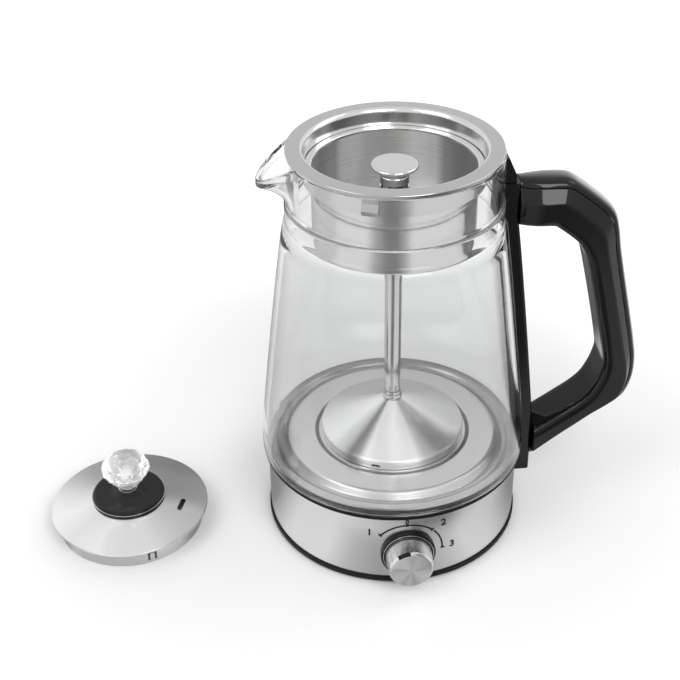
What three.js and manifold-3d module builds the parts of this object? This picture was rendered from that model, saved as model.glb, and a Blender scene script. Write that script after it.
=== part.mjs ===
// Automatic tea maker: a glass jug on a heated base, a lift-out steel basket on a riser
// tube with a funnel at its foot, and the lid taken off and laid beside it.
// Millimetres, +Z up. The origin is where the jug's axis meets the surface that it stands
// on. The knob faces -Y, the handle +X, the spout and the lid lie towards -X.
import * as THREE from 'three';
import { mergeVertices } from 'three/addons/utils/BufferGeometryUtils.js';
import Module from 'manifold-3d';

const wasm = await Module();
wasm.setup();

// Fits and facets
const FIT = 0.3;
const OVERRUN = 1;
const WELD = 0.0001;
const ROUND = 36;
const SMALL_ROUND = 12;
const TUBE_SIDES = 6;
const HALF_TURN = Math.PI;
const FULL_TURN = HALF_TURN * 2;

// Feet and base cover
const BASE_RADIUS = 63;
const FOOT_STAND = 1;
const FOOT_RADIUS = 7;
const FOOT_INSET = 15;
const FOOT_CHAMFER = 0.4;
const FOOT_POCKET = 1.1;
const FOOT_COUNT = 4;
const COVER_RIM_HEIGHT = 2.3;
const COVER_LIP_HEIGHT = 5.5;
const COVER_LIP_WALL = 1.6;

// Steel skirt and the ring that seals the glass to it
const SKIRT_TOP = 41.2;
const SKIRT_SHEET = 0.8;
const SKIRT_LIP = 2.5;
const SEAL_HEIGHT = 1.9;
const SEAL_OVERHANG = 1.5;

// Clamp ring, its posts and the cover screws
const CLAMP_HEIGHT = 2.1;
const CLAMP_WIDTH = 11;
const POST_RADIUS = 4;
const POST_INSET = 8.5;
const POST_COUNT = 3;
const POST_BORE_DEPTH = 8;
const SCREW_RADIUS = 1.5;
const SCREW_HEAD_RADIUS = 3;
const SCREW_HEAD_HEIGHT = 0.9;
const SCREW_LENGTH = 8;

// Glass jug
const JUG_FOOT_OVERHANG = 2.5;
const JUG_FOOT_BAND = 4.5;
const JUG_TOP = 201;
const JUG_SWELL = 0.8;
const jugSwellShares = [0, 0.745, 0.943, 1, 0.943, 0.745, 0];
const GLASS_WALL = 2.6;
const NECK_RADIUS = 49.4;
const NECK_RING_STEP = 0.8;
const NECK_RING_WALL = 4;
const NECK_RING_DROP = 33;
const NECK_RING_HEIGHT = 9;
const SHOULDER_STEP = 1;
const SHOULDER_DROP = 35;

// Spout: stations from the neck to the tip
const SPOUT_OVERHANG = 12.9;
const SPOUT_HALF_WIDTH = 17;
const SPOUT_DEPTH = 25;
const SPOUT_WALL = 2;
const SPOUT_ARC_STEPS = 8;
const spoutReachShares = [0, 0.26, 0.42, 0.62, 0.84, 1];
const spoutWidthShares = [1, 0.78, 0.62, 0.44, 0.25, 0.12];
const spoutLipDropShares = [0, 0.03, 0.07, 0.16, 0.29, 0.42];
const spoutFloorShares = [1, 0.86, 0.72, 0.64, 0.61, 0.6];

// Heating plate, its seal and what is pressed under it
const PLATE_RISE = 4.7;
const PLATE_SHEET = 1;
const PLATE_BEVEL = 3;
const CHANNEL_WIDTH = 2.5;
const PLATE_FLANGE_RISE = 1.8;
const PLATE_FLANGE_WIDTH = 3.8;
const PLATE_SEAL_WIDTH = 2.4;
const SPREADER_INSET = 5.5;
const SPREADER_HEIGHT = 3.2;
const ELEMENT_INSET = 12;
const ELEMENT_TUBE_RADIUS = 3.2;
const ELEMENT_BEND = 4.8;
const ELEMENT_GAP_ANGLE = 0.5;
const ELEMENT_PIN_DROP = 7;
const ELEMENT_STEPS = 32;
const THERMOSTAT_RADIUS = 9;
const THERMOSTAT_HEIGHT = 6;
const THERMOSTAT_STEM_RADIUS = 4;
const THERMOSTAT_STEM_HEIGHT = 3;
const FUSE_RADIUS = 2;
const FUSE_LENGTH = 12;

// Rotary switch, bezel and knob on the front
const KNOB_HEIGHT = 19.2;
const KNOB_RADIUS = 10.6;
const KNOB_LENGTH = 10.4;
const KNOB_CHAMFER = 0.9;
const KNOB_BORE_DEPTH = 7;
const BEZEL_RADIUS = 13.3;
const BEZEL_DEPTH = 2.2;
const BEZEL_CHAMFER = 0.8;
const SHAFT_RADIUS = 3;
const BUSH_RADIUS = 4.4;
const SWITCH_WIDTH = 18;
const SWITCH_DEPTH = 13;
const SWITCH_HEIGHT = 16;
const SWITCH_SETBACK = 2;

// Appliance inlet at the back and its pins
const INLET_HEIGHT = 21;
const INLET_BODY_WIDTH = 27;
const INLET_BODY_HEIGHT = 19.4;
const INLET_BODY_DEPTH = 19;
const INLET_WALL = 1.8;
const INLET_BACK_WALL = 3.5;
const INLET_FLANGE_MARGIN = 2.6;
const INLET_FLANGE_DEPTH = 2.4;
const PIN_WIDTH = 2;
const PIN_HEIGHT = 4;
const PIN_LENGTH = 10;
const PIN_TAIL = 8;
const PIN_SPACING = 7;
const PIN_RISE = 3;

// Internal wires
const WIRE_RADIUS = 1.2;
const WIRE_STEPS = 12;
const WIRE_FLOOR = 12;
const WIRE_SPREAD = 24;
const WIRE_END_GAP = 0.6;

// Handle: spine on the jug, hook under the rim, grip body, outer cap and screws
const SPINE_DEPTH = 5.3;
const SPINE_HALF_WIDTH = 6.5;
const SPINE_LAP = 22.2;
const SPINE_DROP = 16.7;
const SPINE_CHAMFER = 2.5;
const HOOK_HEIGHT = 12.2;
const HOOK_HALF_WIDTH = 6;
const HANDLE_ROOT_INSET = 6;
const HANDLE_OVERHANG = 58.3;
const HANDLE_LAP = 14.2;
const HANDLE_DROP = 16;
const HANDLE_CAP_DEPTH = 3.4;
const HANDLE_HALF_WIDTH = 12.6;
const HANDLE_BAND = 5.9;
const HANDLE_INNER_EASE = 1.9;
const handleOuterShares = [
  [-0.45, 1], [0.295, 1], [0.37, 0.995], [0.435, 0.98], [0.66, 0.905], [0.715, 0.877],
  [0.746, 0.84], [0.787, 0.753], [0.97, 0.42], [0.993, 0.36], [0.989, 0.29],
  [0.933, 0.225], [0.832, 0.191], [0.7, 0.154], [0.59, 0.12], [0.08, -0.035],
];
const handleInnerShares = [
  [-0.45, 0.862], [0.218, 0.862], [0.25, 0.86], [0.277, 0.853], [0.432, 0.8], [0.47, 0.778],
  [0.487, 0.766], [0.52, 0.728], [0.708, 0.396], [0.717, 0.36], [0.7, 0.326],
  [0.673, 0.294], [0.622, 0.255], [0.552, 0.226], [0.435, 0.191], [0.08, 0.091],
];
const handleBandShares = [1, 1, 1, 1, 1, 1, 0.9, 0.65, 0.6, 0.5, 0.4, 0.35, 0.3, 0.3, 0.3, 0.3];
const handleFaceShares = [0.4, 0.57, 0.645, 0.89];
const capShoulderShare = 0.35;
const HANDLE_SCREW_RADIUS = 1.8;
const HANDLE_SCREW_HEAD_RADIUS = 3.2;
const HANDLE_SCREW_HEAD = 2;
const HANDLE_SCREW_LENGTH = 9.5;
const HANDLE_SCREW_INSET = 0.6;
const UPPER_SCREW_DROP = 10.8;
const LOWER_SCREW_DROP = 3.7;

// Basket: rim with collar and springs, cup with a perforated floor
const RIM_INSET = 0.5;
const RIM_SHEET = 2;
const RIM_EDGE = 0.4;
const RIM_CHAMFER = 1.2;
const COLLAR_CLEARANCE = 4.8;
const COLLAR_WALL = 0.9;
const COLLAR_HEIGHT = 13.3;
const SHOULDER_HEIGHT = 4;
const CUP_SETBACK = 3.4;
const CUP_SHEET = 0.6;
const CUP_FLANGE_CLEARANCE = 0.4;
const CUP_HEIGHT = 35.7;
const CUP_CORNER = 2.4;
const HOLE_RADIUS = 1.5;
const HOLE_SIDES = 6;
const holePitchShares = [0.431, 0.701];
const holeCounts = [6, 10];
const SPRING_WIDTH = 7.3;
const SPRING_HEIGHT = 8.6;
const SPRING_SHEET = 0.5;
const SPRING_BULGE = 2.2;
const SPRING_ANGLE = -1.94;
const SPRING_COUNT = 2;

// Riser tube, its nut, seat, foot collar and the funnel
const TUBE_RADIUS = 4;
const TUBE_WALL = 0.8;
const TUBE_SPRAY_GAP = 4.3;
const NUT_RADIUS = 7;
const NUT_HEIGHT = 4;
const NUT_SIDES = 6;
const SEAT_RADIUS = 6.4;
const SEAT_HEIGHT = 4;
const COLLAR_FOOT_RADIUS = 4.9;
const COLLAR_FOOT_HEIGHT = 4.1;
const FUNNEL_INSET = 2.1;
const FUNNEL_SHEET = 0.8;
const FUNNEL_WALL_HEIGHT = 4.2;
const FUNNEL_EDGE = 1.8;
const FUNNEL_HEIGHT = 18.6;
const NOTCH_WIDTH = 4;
const NOTCH_HEIGHT = 1.6;
const NOTCH_BASE = 0.6;
const NOTCH_COUNT = 4;
const NOTCH_ANGLE = -1.92;

// Spray cap on top of the riser tube
const CAP_DROP = 8.6;
const CAP_RADIUS = 11.2;
const CAP_THICKNESS = 2.4;
const CAP_EDGE = 0.8;
const CAP_NECK_RADIUS = 6.7;
const CAP_NECK_BORE = 5.2;
const CAP_NECK_HEIGHT = 14;
const CAP_SLOT_WIDTH = 7.2;
const CAP_SLOT_HEIGHT = 2;
const CAP_SLOT_DROP = 6.4;
const CAP_SLOT_COUNT = 4;

// Lid, laid beside the jug
const LID_APART = 33.1;
const LID_Y = -1;
const LID_CLEARANCE = 0.6;
const LID_SHEET = 0.8;
const LID_CROWN = 17;
const LID_EDGE_DROP = 6.8;
const LID_STEPS = 5;
const LID_POWER = 1.9;
const LID_SKIRT_CLEARANCE = 0.5;
const LID_SKIRT_SHEET = 0.8;
const LID_SKIRT_GAP = 1.1;
const TONGUE_WIDTH = 2.3;
const TONGUE_HEIGHT = 4.1;
const TONGUE_SLIT = 1.1;
const TONGUE_DROP = 4.3;
const TONGUE_ANGLE = -1.24;
const TONGUE_COUNT = 2;
const VENT_LENGTH = 6;
const VENT_WIDTH = 2.6;
const ventPlaceShare = 0.544;
const VENT_ANGLE = -0.3;
const DISC_RADIUS = 18.7;
const DISC_EDGE_HEIGHT = 2.2;
const DISC_CHAMFER = 0.6;
const DISC_RISE = 0.9;
const LID_NECK_RADIUS = 4.3;
const LID_NECK_HEIGHT = 3.2;
const neckFlareShare = 1.5;
const CRYSTAL_RADIUS = 12.3;
const CRYSTAL_HEIGHT = 18.4;
const CRYSTAL_SIDES = 10;
const crystalShares = [[0.36, 0], [0.68, 0.27], [1, 0.57], [0.97, 0.69], [0.66, 1]];
const LID_SCREW_RADIUS = 1.8;
const LID_SCREW_HEAD_RADIUS = 3.6;
const LID_SCREW_HEAD = 2.2;
const LID_SCREW_DEPTH = 7;
const LID_WASHER_RADIUS = 6;
const LID_WASHER_SHEET = 0.8;

// Base sizes that follow from the ones above
const COVER_TOP = FOOT_STAND + COVER_RIM_HEIGHT;
const FOOT_PITCH = BASE_RADIUS - FOOT_INSET;
const SKIRT_BOTTOM = COVER_TOP + FIT;
const SKIRT_INNER = BASE_RADIUS - SKIRT_SHEET;
const COVER_LIP_RADIUS = SKIRT_INNER - FIT;
const SKIRT_LIP_RADIUS = BASE_RADIUS - SKIRT_LIP;
const SEAL_RADIUS = BASE_RADIUS + SEAL_OVERHANG;
const SEAL_BOTTOM = SKIRT_TOP + FIT;
const SEAL_TOP = SEAL_BOTTOM + SEAL_HEIGHT;
const CLAMP_RADIUS = SKIRT_LIP_RADIUS - FIT;
const CLAMP_BOTTOM = SEAL_BOTTOM;
const CLAMP_TOP = CLAMP_BOTTOM + CLAMP_HEIGHT;
const POST_BOTTOM = COVER_TOP + FIT;
const POST_PITCH = BASE_RADIUS - POST_INSET;
const INLET_MOUTH = BASE_RADIUS + INLET_FLANGE_DEPTH;
const INLET_BACK = INLET_MOUTH - INLET_BODY_DEPTH;
const INLET_FLOOR = INLET_BACK + INLET_BACK_WALL;

// Jug and plate sizes that follow
const GLASS_BOTTOM = SEAL_TOP + FIT;
const JUG_FOOT_RADIUS = BASE_RADIUS + JUG_FOOT_OVERHANG;
const JUG_FOOT_TOP = GLASS_BOTTOM + JUG_FOOT_BAND;
const JUG_INNER_FOOT = JUG_FOOT_RADIUS - GLASS_WALL;
const NECK_RING_RADIUS = NECK_RADIUS + NECK_RING_STEP;
const NECK_RING_INNER = NECK_RING_RADIUS - NECK_RING_WALL;
const NECK_RING_BASE = JUG_TOP - NECK_RING_DROP;
const NECK_RING_TOP = NECK_RING_BASE + NECK_RING_HEIGHT;
const JUG_SHOULDER_RADIUS = NECK_RING_RADIUS + SHOULDER_STEP;
const JUG_SHOULDER_HEIGHT = JUG_TOP - SHOULDER_DROP;
const SPOUT_REACH = NECK_RADIUS + SPOUT_OVERHANG;
const PLATE_TOP = GLASS_BOTTOM + PLATE_RISE;
const PLATE_RADIUS = JUG_INNER_FOOT - FIT;
const PLATE_LIP = PLATE_RADIUS - PLATE_FLANGE_WIDTH;
const CHANNEL_OUTER = PLATE_LIP - PLATE_FLANGE_RISE;
const CHANNEL_INNER = CHANNEL_OUTER - CHANNEL_WIDTH;
const PLATEAU_RADIUS = CHANNEL_INNER - PLATE_BEVEL;
const PLATE_CHANNEL = PLATE_TOP - PLATE_BEVEL;
const PLATE_FLANGE = PLATE_CHANNEL + PLATE_FLANGE_RISE;
const SPREADER_RADIUS = PLATEAU_RADIUS - SPREADER_INSET;
const SPREADER_TOP = PLATE_TOP - PLATE_SHEET - FIT;
const SPREADER_BOTTOM = SPREADER_TOP - SPREADER_HEIGHT;
const ELEMENT_RADIUS = SPREADER_RADIUS - ELEMENT_INSET;
const ELEMENT_HEIGHT = SPREADER_BOTTOM - FIT - ELEMENT_TUBE_RADIUS;
const FUSE_OFFSET = (THERMOSTAT_RADIUS + ELEMENT_RADIUS - ELEMENT_TUBE_RADIUS) / 2;

// Handle sizes that follow
const SPINE_BOTTOM = SKIRT_TOP - SPINE_LAP;
const SPINE_TOP = JUG_TOP - SPINE_DROP;
const HANDLE_ROOT = BASE_RADIUS - HANDLE_ROOT_INSET;
const HANDLE_REACH = BASE_RADIUS + HANDLE_OVERHANG;
const HANDLE_BOTTOM = SKIRT_TOP - HANDLE_LAP;
const HANDLE_TOP = JUG_TOP - HANDLE_DROP;
const UPPER_SCREW_HEIGHT = SPINE_TOP - UPPER_SCREW_DROP;
const LOWER_SCREW_HEIGHT = SKIRT_TOP - LOWER_SCREW_DROP;
const UPPER_HEAD = NECK_RING_RADIUS + HANDLE_SCREW_INSET;
const LOWER_HEAD = BASE_RADIUS + HANDLE_SCREW_INSET;

// Basket and cap sizes that follow
const RIM_TOP = JUG_TOP + FIT + RIM_SHEET;
const RIM_RADIUS = NECK_RADIUS - RIM_INSET;
const COLLAR_RADIUS = NECK_RING_INNER - COLLAR_CLEARANCE;
const COLLAR_INNER_RADIUS = COLLAR_RADIUS - COLLAR_WALL;
const COLLAR_BOTTOM = RIM_TOP - COLLAR_HEIGHT;
const CUP_INNER_RADIUS = COLLAR_INNER_RADIUS - CUP_SETBACK;
const CUP_RADIUS = CUP_INNER_RADIUS + CUP_SHEET;
const CUP_FLANGE_RADIUS = COLLAR_INNER_RADIUS - CUP_FLANGE_CLEARANCE;
const CUP_TOP = COLLAR_BOTTOM + SHOULDER_HEIGHT + FIT + CUP_SHEET;
const CUP_BOTTOM = CUP_TOP - CUP_HEIGHT;
const FUNNEL_RADIUS = CUP_RADIUS - FUNNEL_INSET;
const FUNNEL_BASE = PLATE_TOP + FIT;
const CAP_TOP = RIM_TOP - CAP_DROP;
const CAP_DISC_BOTTOM = CAP_TOP - CAP_THICKNESS;
const CAP_NECK_BOTTOM = CAP_DISC_BOTTOM - CAP_NECK_HEIGHT;
const TUBE_TOP = CAP_DISC_BOTTOM - TUBE_SPRAY_GAP;
const TUBE_BOTTOM = FUNNEL_BASE + FUNNEL_HEIGHT - FUNNEL_SHEET;

// Lid sizes that follow
const LID_RADIUS = COLLAR_INNER_RADIUS - LID_CLEARANCE;
const LID_X = -(BASE_RADIUS + LID_APART + LID_RADIUS);
const LID_EDGE = LID_CROWN - LID_EDGE_DROP;
const LID_SKIRT_RADIUS = CUP_INNER_RADIUS - LID_SKIRT_CLEARANCE;
const LID_SKIRT_INNER = LID_SKIRT_RADIUS - LID_SKIRT_SHEET;
const LID_SKIRT_TOP = LID_EDGE - LID_SHEET - FIT + LID_SKIRT_GAP;
const VENT_PITCH = DISC_RADIUS + ventPlaceShare * (LID_SKIRT_INNER - DISC_RADIUS);
const DISC_TOP = domeHeight(DISC_RADIUS) + FIT + DISC_EDGE_HEIGHT;
const CRYSTAL_BASE = DISC_TOP + DISC_CHAMFER + LID_NECK_HEIGHT + FIT;

// Finishes as colour, roughness and metalness
const brushedSteel = { color: 0xb9b9b7, roughness: 0.34, metalness: 0.9 };
const polishedSteel = { color: 0xd6d6d6, roughness: 0.12, metalness: 1 };
const satinSteel = { color: 0xb2b2b0, roughness: 0.45, metalness: 0.85 };
const glossBlack = { color: 0x161616, roughness: 0.12, metalness: 0 };
const mattBlack = { color: 0x1c1c1c, roughness: 0.6, metalness: 0 };
const rubberBlack = { color: 0x141414, roughness: 0.85, metalness: 0 };
const clearGlass = { color: 0xeef2f2, roughness: 0.05, metalness: 0, transparent: true, opacity: 0.3 };
const castAluminium = { color: 0x9a9b9c, roughness: 0.55, metalness: 0.8 };
const zincSteel = { color: 0xc3c1b4, roughness: 0.4, metalness: 0.8 };
const brassMetal = { color: 0xb08d4a, roughness: 0.35, metalness: 0.9 };
const ceramicWhite = { color: 0xe6e2d8, roughness: 0.5, metalness: 0 };
const wireBrown = { color: 0x6b3f25, roughness: 0.6, metalness: 0 };
const wireBlue = { color: 0x2c5ca8, roughness: 0.6, metalness: 0 };
const wireGreen = { color: 0x5d8f3a, roughness: 0.6, metalness: 0 };

// Turns a geometry into one welded closed mesh whose faces point out
function weld(geometry) {
  const bare = geometry.clone();
  bare.deleteAttribute('normal');
  bare.deleteAttribute('uv');
  const merged = mergeVertices(bare, WELD);
  const index = merged.index.array;
  const kept = [];
  for (let i = 0; i < index.length; i += 3) {
    const [a, b, c] = index.slice(i, i + 3);
    if (a !== b && b !== c && c !== a) kept.push(a, b, c);
  }
  merged.setIndex(kept);
  if (signedVolume(merged) < 0) merged.setIndex(kept.reverse());
  return merged;
}

// Six times the volume inside a mesh, negative when its faces point in
function signedVolume(geometry) {
  const corner = [new THREE.Vector3(), new THREE.Vector3(), new THREE.Vector3()];
  const position = geometry.attributes.position;
  const index = geometry.index.array;
  let total = 0;
  for (let i = 0; i < index.length; i += 3) {
    corner.forEach((point, k) => point.fromBufferAttribute(position, index[i + k]));
    total += corner[0].dot(corner[1].clone().cross(corner[2]));
  }
  return total;
}

function toSolid(geometry) {
  const welded = weld(geometry);
  const vertProperties = new Float32Array(welded.attributes.position.array);
  const triVerts = new Uint32Array(welded.index.array);
  return new wasm.Manifold(new wasm.Mesh({ numProp: 3, vertProperties, triVerts }));
}

function toGeometry(manifold) {
  const mesh = manifold.getMesh();
  const geometry = new THREE.BufferGeometry();
  geometry.setAttribute('position', new THREE.BufferAttribute(mesh.vertProperties, mesh.numProp));
  geometry.setIndex(new THREE.BufferAttribute(mesh.triVerts, 1));
  return geometry;
}

function join(first, ...others) {
  return toGeometry(others.reduce((sum, other) => sum.add(toSolid(other)), toSolid(first)));
}

function cut(first, ...tools) {
  return toGeometry(tools.reduce((rest, tool) => rest.subtract(toSolid(tool)), toSolid(first)));
}

// A solid of revolution about Z from a closed outline of [radius, height] points
function turned(outline, facets = ROUND) {
  const points = outline.map(([radius, height]) => new THREE.Vector2(radius, height));
  points.push(points[0].clone());
  return weld(new THREE.LatheGeometry(points, facets).rotateX(HALF_TURN / 2));
}

// A straight round bar along Z
function rod(radius, bottom, top, facets = SMALL_ROUND) {
  return turned([[0, bottom], [radius, bottom], [radius, top], [0, top]], facets);
}

// The same bar laid along X, or along -Y
function rodAlongX(radius, from, to, facets = SMALL_ROUND) {
  return rod(radius, from, to, facets).rotateY(HALF_TURN / 2);
}

function towardsFront(geometry) {
  return geometry.rotateX(HALF_TURN / 2);
}

function block(low, high) {
  const size = high.map((value, axis) => value - low[axis]);
  const middle = high.map((value, axis) => (value + low[axis]) / 2);
  return weld(new THREE.BoxGeometry(...size).translate(...middle));
}

// An outline of [x, z] points given a thickness along Y, centred on y = 0
function slab(outline, halfWidth) {
  const shape = new THREE.Shape(outline.map(([x, z]) => new THREE.Vector2(x, z)));
  const geometry = new THREE.ExtrudeGeometry(shape, { depth: halfWidth * 2, bevelEnabled: false });
  return weld(geometry.rotateX(HALF_TURN / 2).translate(0, halfWidth, 0));
}

function ringShape(radius, sides) {
  const shape = new THREE.Shape();
  for (let i = 0; i < sides; i += 1) {
    const angle = (i / sides) * FULL_TURN;
    const corner = [Math.cos(angle) * radius, Math.sin(angle) * radius];
    if (i === 0) shape.moveTo(...corner);
    else shape.lineTo(...corner);
  }
  shape.closePath();
  return shape;
}

// A round bar bent along a smooth curve
function bentRod(points, radius, steps) {
  const path = new THREE.CatmullRomCurve3(points.map((point) => new THREE.Vector3(...point)));
  const options = { steps, extrudePath: path, bevelEnabled: false };
  return weld(new THREE.ExtrudeGeometry(ringShape(radius, TUBE_SIDES), options));
}

// A closed skin over rings of equally many points, with a flat fan at each end
function loft(rings) {
  const vertices = rings.flat();
  const count = rings[0].length;
  const index = [];
  for (let row = 0; row < rings.length - 1; row += 1) {
    for (let i = 0; i < count; i += 1) {
      const a = row * count + i;
      const b = row * count + ((i + 1) % count);
      index.push(a, b, a + count, b, b + count, a + count);
    }
  }
  [0, rings.length - 1].forEach((row, end) => {
    const middle = new THREE.Vector3();
    rings[row].forEach((point) => middle.addScaledVector(point, 1 / count));
    const centre = vertices.push(middle) - 1;
    for (let i = 0; i < count; i += 1) {
      const a = row * count + i;
      const b = row * count + ((i + 1) % count);
      if (end === 0) index.push(b, a, centre);
      else index.push(a, b, centre);
    }
  });
  const geometry = new THREE.BufferGeometry().setFromPoints(vertices);
  geometry.setIndex(index);
  return weld(geometry);
}

// Copies of a tool turned about Z by equal steps from a first angle
function around(count, firstAngle, make) {
  const copies = [];
  for (let i = 0; i < count; i += 1) {
    copies.push(make().rotateZ(firstAngle + (i / count) * FULL_TURN));
  }
  return copies;
}

function piece(parent, name, geometry, finish) {
  const mesh = new THREE.Mesh(geometry, new THREE.MeshStandardMaterial(finish));
  mesh.name = name;
  parent.add(mesh);
  return mesh;
}

// Outer outline of the jug from its foot to its mouth, set out by a gap
function jugOutline(gap) {
  const outline = [[JUG_FOOT_RADIUS + gap, GLASS_BOTTOM]];
  jugSwellShares.forEach((swellShare, i) => {
    const share = i / (jugSwellShares.length - 1);
    const straight = THREE.MathUtils.lerp(JUG_FOOT_RADIUS, JUG_SHOULDER_RADIUS, share);
    const height = THREE.MathUtils.lerp(JUG_FOOT_TOP, JUG_SHOULDER_HEIGHT, share);
    outline.push([straight + JUG_SWELL * swellShare + gap, height]);
  });
  outline.push([NECK_RING_RADIUS + gap, NECK_RING_BASE]);
  outline.push([NECK_RING_RADIUS + gap, NECK_RING_TOP]);
  outline.push([NECK_RADIUS + gap, NECK_RING_TOP + NECK_RING_RADIUS - NECK_RADIUS]);
  outline.push([NECK_RADIUS + gap, JUG_TOP]);
  return outline;
}

// One U-shaped station of the spout, its wall taken off for the channel
function spoutRing(station, wall, lipOverrun, reachOverrun) {
  const reach = SPOUT_REACH - NECK_RING_INNER;
  const x = -(NECK_RING_INNER + spoutReachShares[station] * reach) - reachOverrun;
  const lip = JUG_TOP - spoutLipDropShares[station] * SPOUT_DEPTH;
  const floor = JUG_TOP - spoutFloorShares[station] * SPOUT_DEPTH + wall;
  const halfWidth = Math.max(spoutWidthShares[station] * SPOUT_HALF_WIDTH - wall, wall / 2);
  const ring = [];
  for (let i = 0; i <= SPOUT_ARC_STEPS; i += 1) {
    const angle = (i / SPOUT_ARC_STEPS) * HALF_TURN;
    ring.push(new THREE.Vector3(x, Math.cos(angle) * halfWidth, lip - Math.sin(angle) * (lip - floor)));
  }
  if (lipOverrun > 0) {
    ring.push(new THREE.Vector3(x, -halfWidth, lip + lipOverrun));
    ring.push(new THREE.Vector3(x, halfWidth, lip + lipOverrun));
  }
  return ring;
}

function spoutOuter() {
  return loft(spoutReachShares.map((share, station) => spoutRing(station, 0, 0, 0)));
}

function spoutChannel() {
  const last = spoutReachShares.length - 1;
  const rings = spoutReachShares.map((share, station) => spoutRing(station, SPOUT_WALL, OVERRUN, 0));
  const inside = spoutRing(0, SPOUT_WALL, OVERRUN, -GLASS_WALL - OVERRUN);
  return loft([inside, ...rings, spoutRing(last, SPOUT_WALL, OVERRUN, OVERRUN)]);
}

function jugCavity() {
  const inner = jugOutline(-GLASS_WALL).filter(([, height]) => height <= JUG_SHOULDER_HEIGHT);
  const neckInner = NECK_RADIUS - GLASS_WALL;
  inner[0][1] = GLASS_BOTTOM - OVERRUN;
  return turned([
    [0, GLASS_BOTTOM - OVERRUN],
    ...inner,
    [NECK_RING_INNER, NECK_RING_BASE],
    [NECK_RING_INNER, NECK_RING_TOP],
    [neckInner, NECK_RING_TOP + neckInner - NECK_RING_INNER],
    [neckInner, JUG_TOP + OVERRUN],
    [0, JUG_TOP + OVERRUN],
  ]);
}

function glassJug() {
  const wall = turned([[0, GLASS_BOTTOM], ...jugOutline(0), [0, JUG_TOP]]);
  return cut(join(wall, spoutOuter()), jugCavity(), spoutChannel());
}

function footPlaces() {
  const places = [];
  for (let i = 0; i < FOOT_COUNT; i += 1) {
    const angle = ((i + 1 / 2) / FOOT_COUNT) * FULL_TURN;
    places.push([Math.cos(angle) * FOOT_PITCH, Math.sin(angle) * FOOT_PITCH]);
  }
  return places;
}

function foot() {
  const top = FOOT_STAND + FOOT_POCKET - FIT;
  return turned([
    [0, 0], [FOOT_RADIUS - FOOT_CHAMFER, 0], [FOOT_RADIUS, FOOT_CHAMFER], [FOOT_RADIUS, top], [0, top],
  ], SMALL_ROUND);
}

function coverScrewHoles() {
  const hole = SCREW_RADIUS + FIT;
  const head = SCREW_HEAD_RADIUS + FIT;
  const seat = FOOT_STAND + SCREW_HEAD_HEIGHT + FIT;
  return around(POST_COUNT, 0, () => turned([
    [0, FOOT_STAND - OVERRUN], [head, FOOT_STAND - OVERRUN], [head, seat],
    [hole, seat], [hole, COVER_TOP + OVERRUN], [0, COVER_TOP + OVERRUN],
  ], SMALL_ROUND).translate(POST_PITCH, 0, 0));
}

function baseCover() {
  const lipTop = COVER_TOP + COVER_LIP_HEIGHT;
  const tray = turned([
    [0, FOOT_STAND], [BASE_RADIUS, FOOT_STAND], [BASE_RADIUS, COVER_TOP], [COVER_LIP_RADIUS, COVER_TOP],
    [COVER_LIP_RADIUS, lipTop], [COVER_LIP_RADIUS - COVER_LIP_WALL, lipTop],
    [COVER_LIP_RADIUS - COVER_LIP_WALL, COVER_TOP], [0, COVER_TOP],
  ]);
  const pockets = footPlaces().map(([x, y]) => (
    rod(FOOT_RADIUS + FIT, FOOT_STAND - OVERRUN, FOOT_STAND + FOOT_POCKET).translate(x, y, 0)
  ));
  return cut(tray, ...pockets, ...coverScrewHoles());
}

function coverScrew() {
  const bottom = FOOT_STAND + FIT / 2;
  const neck = bottom + SCREW_HEAD_HEIGHT;
  return turned([
    [0, bottom], [SCREW_HEAD_RADIUS, bottom], [SCREW_HEAD_RADIUS, neck], [SCREW_RADIUS, neck],
    [SCREW_RADIUS, bottom + SCREW_LENGTH], [0, bottom + SCREW_LENGTH],
  ], SMALL_ROUND).translate(POST_PITCH, 0, 0);
}

// Outline of the inlet's body, set out by a gap, between two depths along Y
function inletBody(gap, from, to) {
  const x = INLET_BODY_WIDTH / 2 + gap;
  const z = INLET_BODY_HEIGHT / 2 + gap;
  return block([-x, from, INLET_HEIGHT - z], [x, to, INLET_HEIGHT + z]);
}

function baseSkirt() {
  const sleeve = turned([
    [SKIRT_INNER, SKIRT_BOTTOM], [BASE_RADIUS, SKIRT_BOTTOM], [BASE_RADIUS, SKIRT_TOP],
    [SKIRT_LIP_RADIUS, SKIRT_TOP], [SKIRT_LIP_RADIUS, SKIRT_TOP - SKIRT_SHEET],
    [SKIRT_INNER, SKIRT_TOP - SKIRT_SHEET],
  ]);
  const shaftHole = towardsFront(rod(BUSH_RADIUS + FIT, 0, BASE_RADIUS + OVERRUN));
  const inletHole = inletBody(FIT, BASE_RADIUS / 2, BASE_RADIUS + OVERRUN);
  return cut(sleeve, shaftHole.translate(0, 0, KNOB_HEIGHT), inletHole);
}

function sealRing() {
  return turned([
    [SKIRT_LIP_RADIUS, SEAL_BOTTOM], [SEAL_RADIUS, SEAL_BOTTOM], [SEAL_RADIUS, SEAL_TOP],
    [SKIRT_LIP_RADIUS, SEAL_TOP],
  ]);
}

function clampRing() {
  const ring = turned([
    [CLAMP_RADIUS - CLAMP_WIDTH, CLAMP_BOTTOM], [CLAMP_RADIUS, CLAMP_BOTTOM],
    [CLAMP_RADIUS, CLAMP_TOP], [CLAMP_RADIUS - CLAMP_WIDTH, CLAMP_TOP],
  ]);
  const middle = (CLAMP_TOP + CLAMP_BOTTOM) / 2;
  const bars = (radius, bottom, top) => (
    around(POST_COUNT, 0, () => rod(radius, bottom, top).translate(POST_PITCH, 0, 0))
  );
  const posts = bars(POST_RADIUS, POST_BOTTOM, middle);
  const bores = bars(SCREW_RADIUS + FIT, POST_BOTTOM - OVERRUN, POST_BOTTOM + POST_BORE_DEPTH);
  return cut(join(ring, ...posts), ...bores);
}

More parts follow.
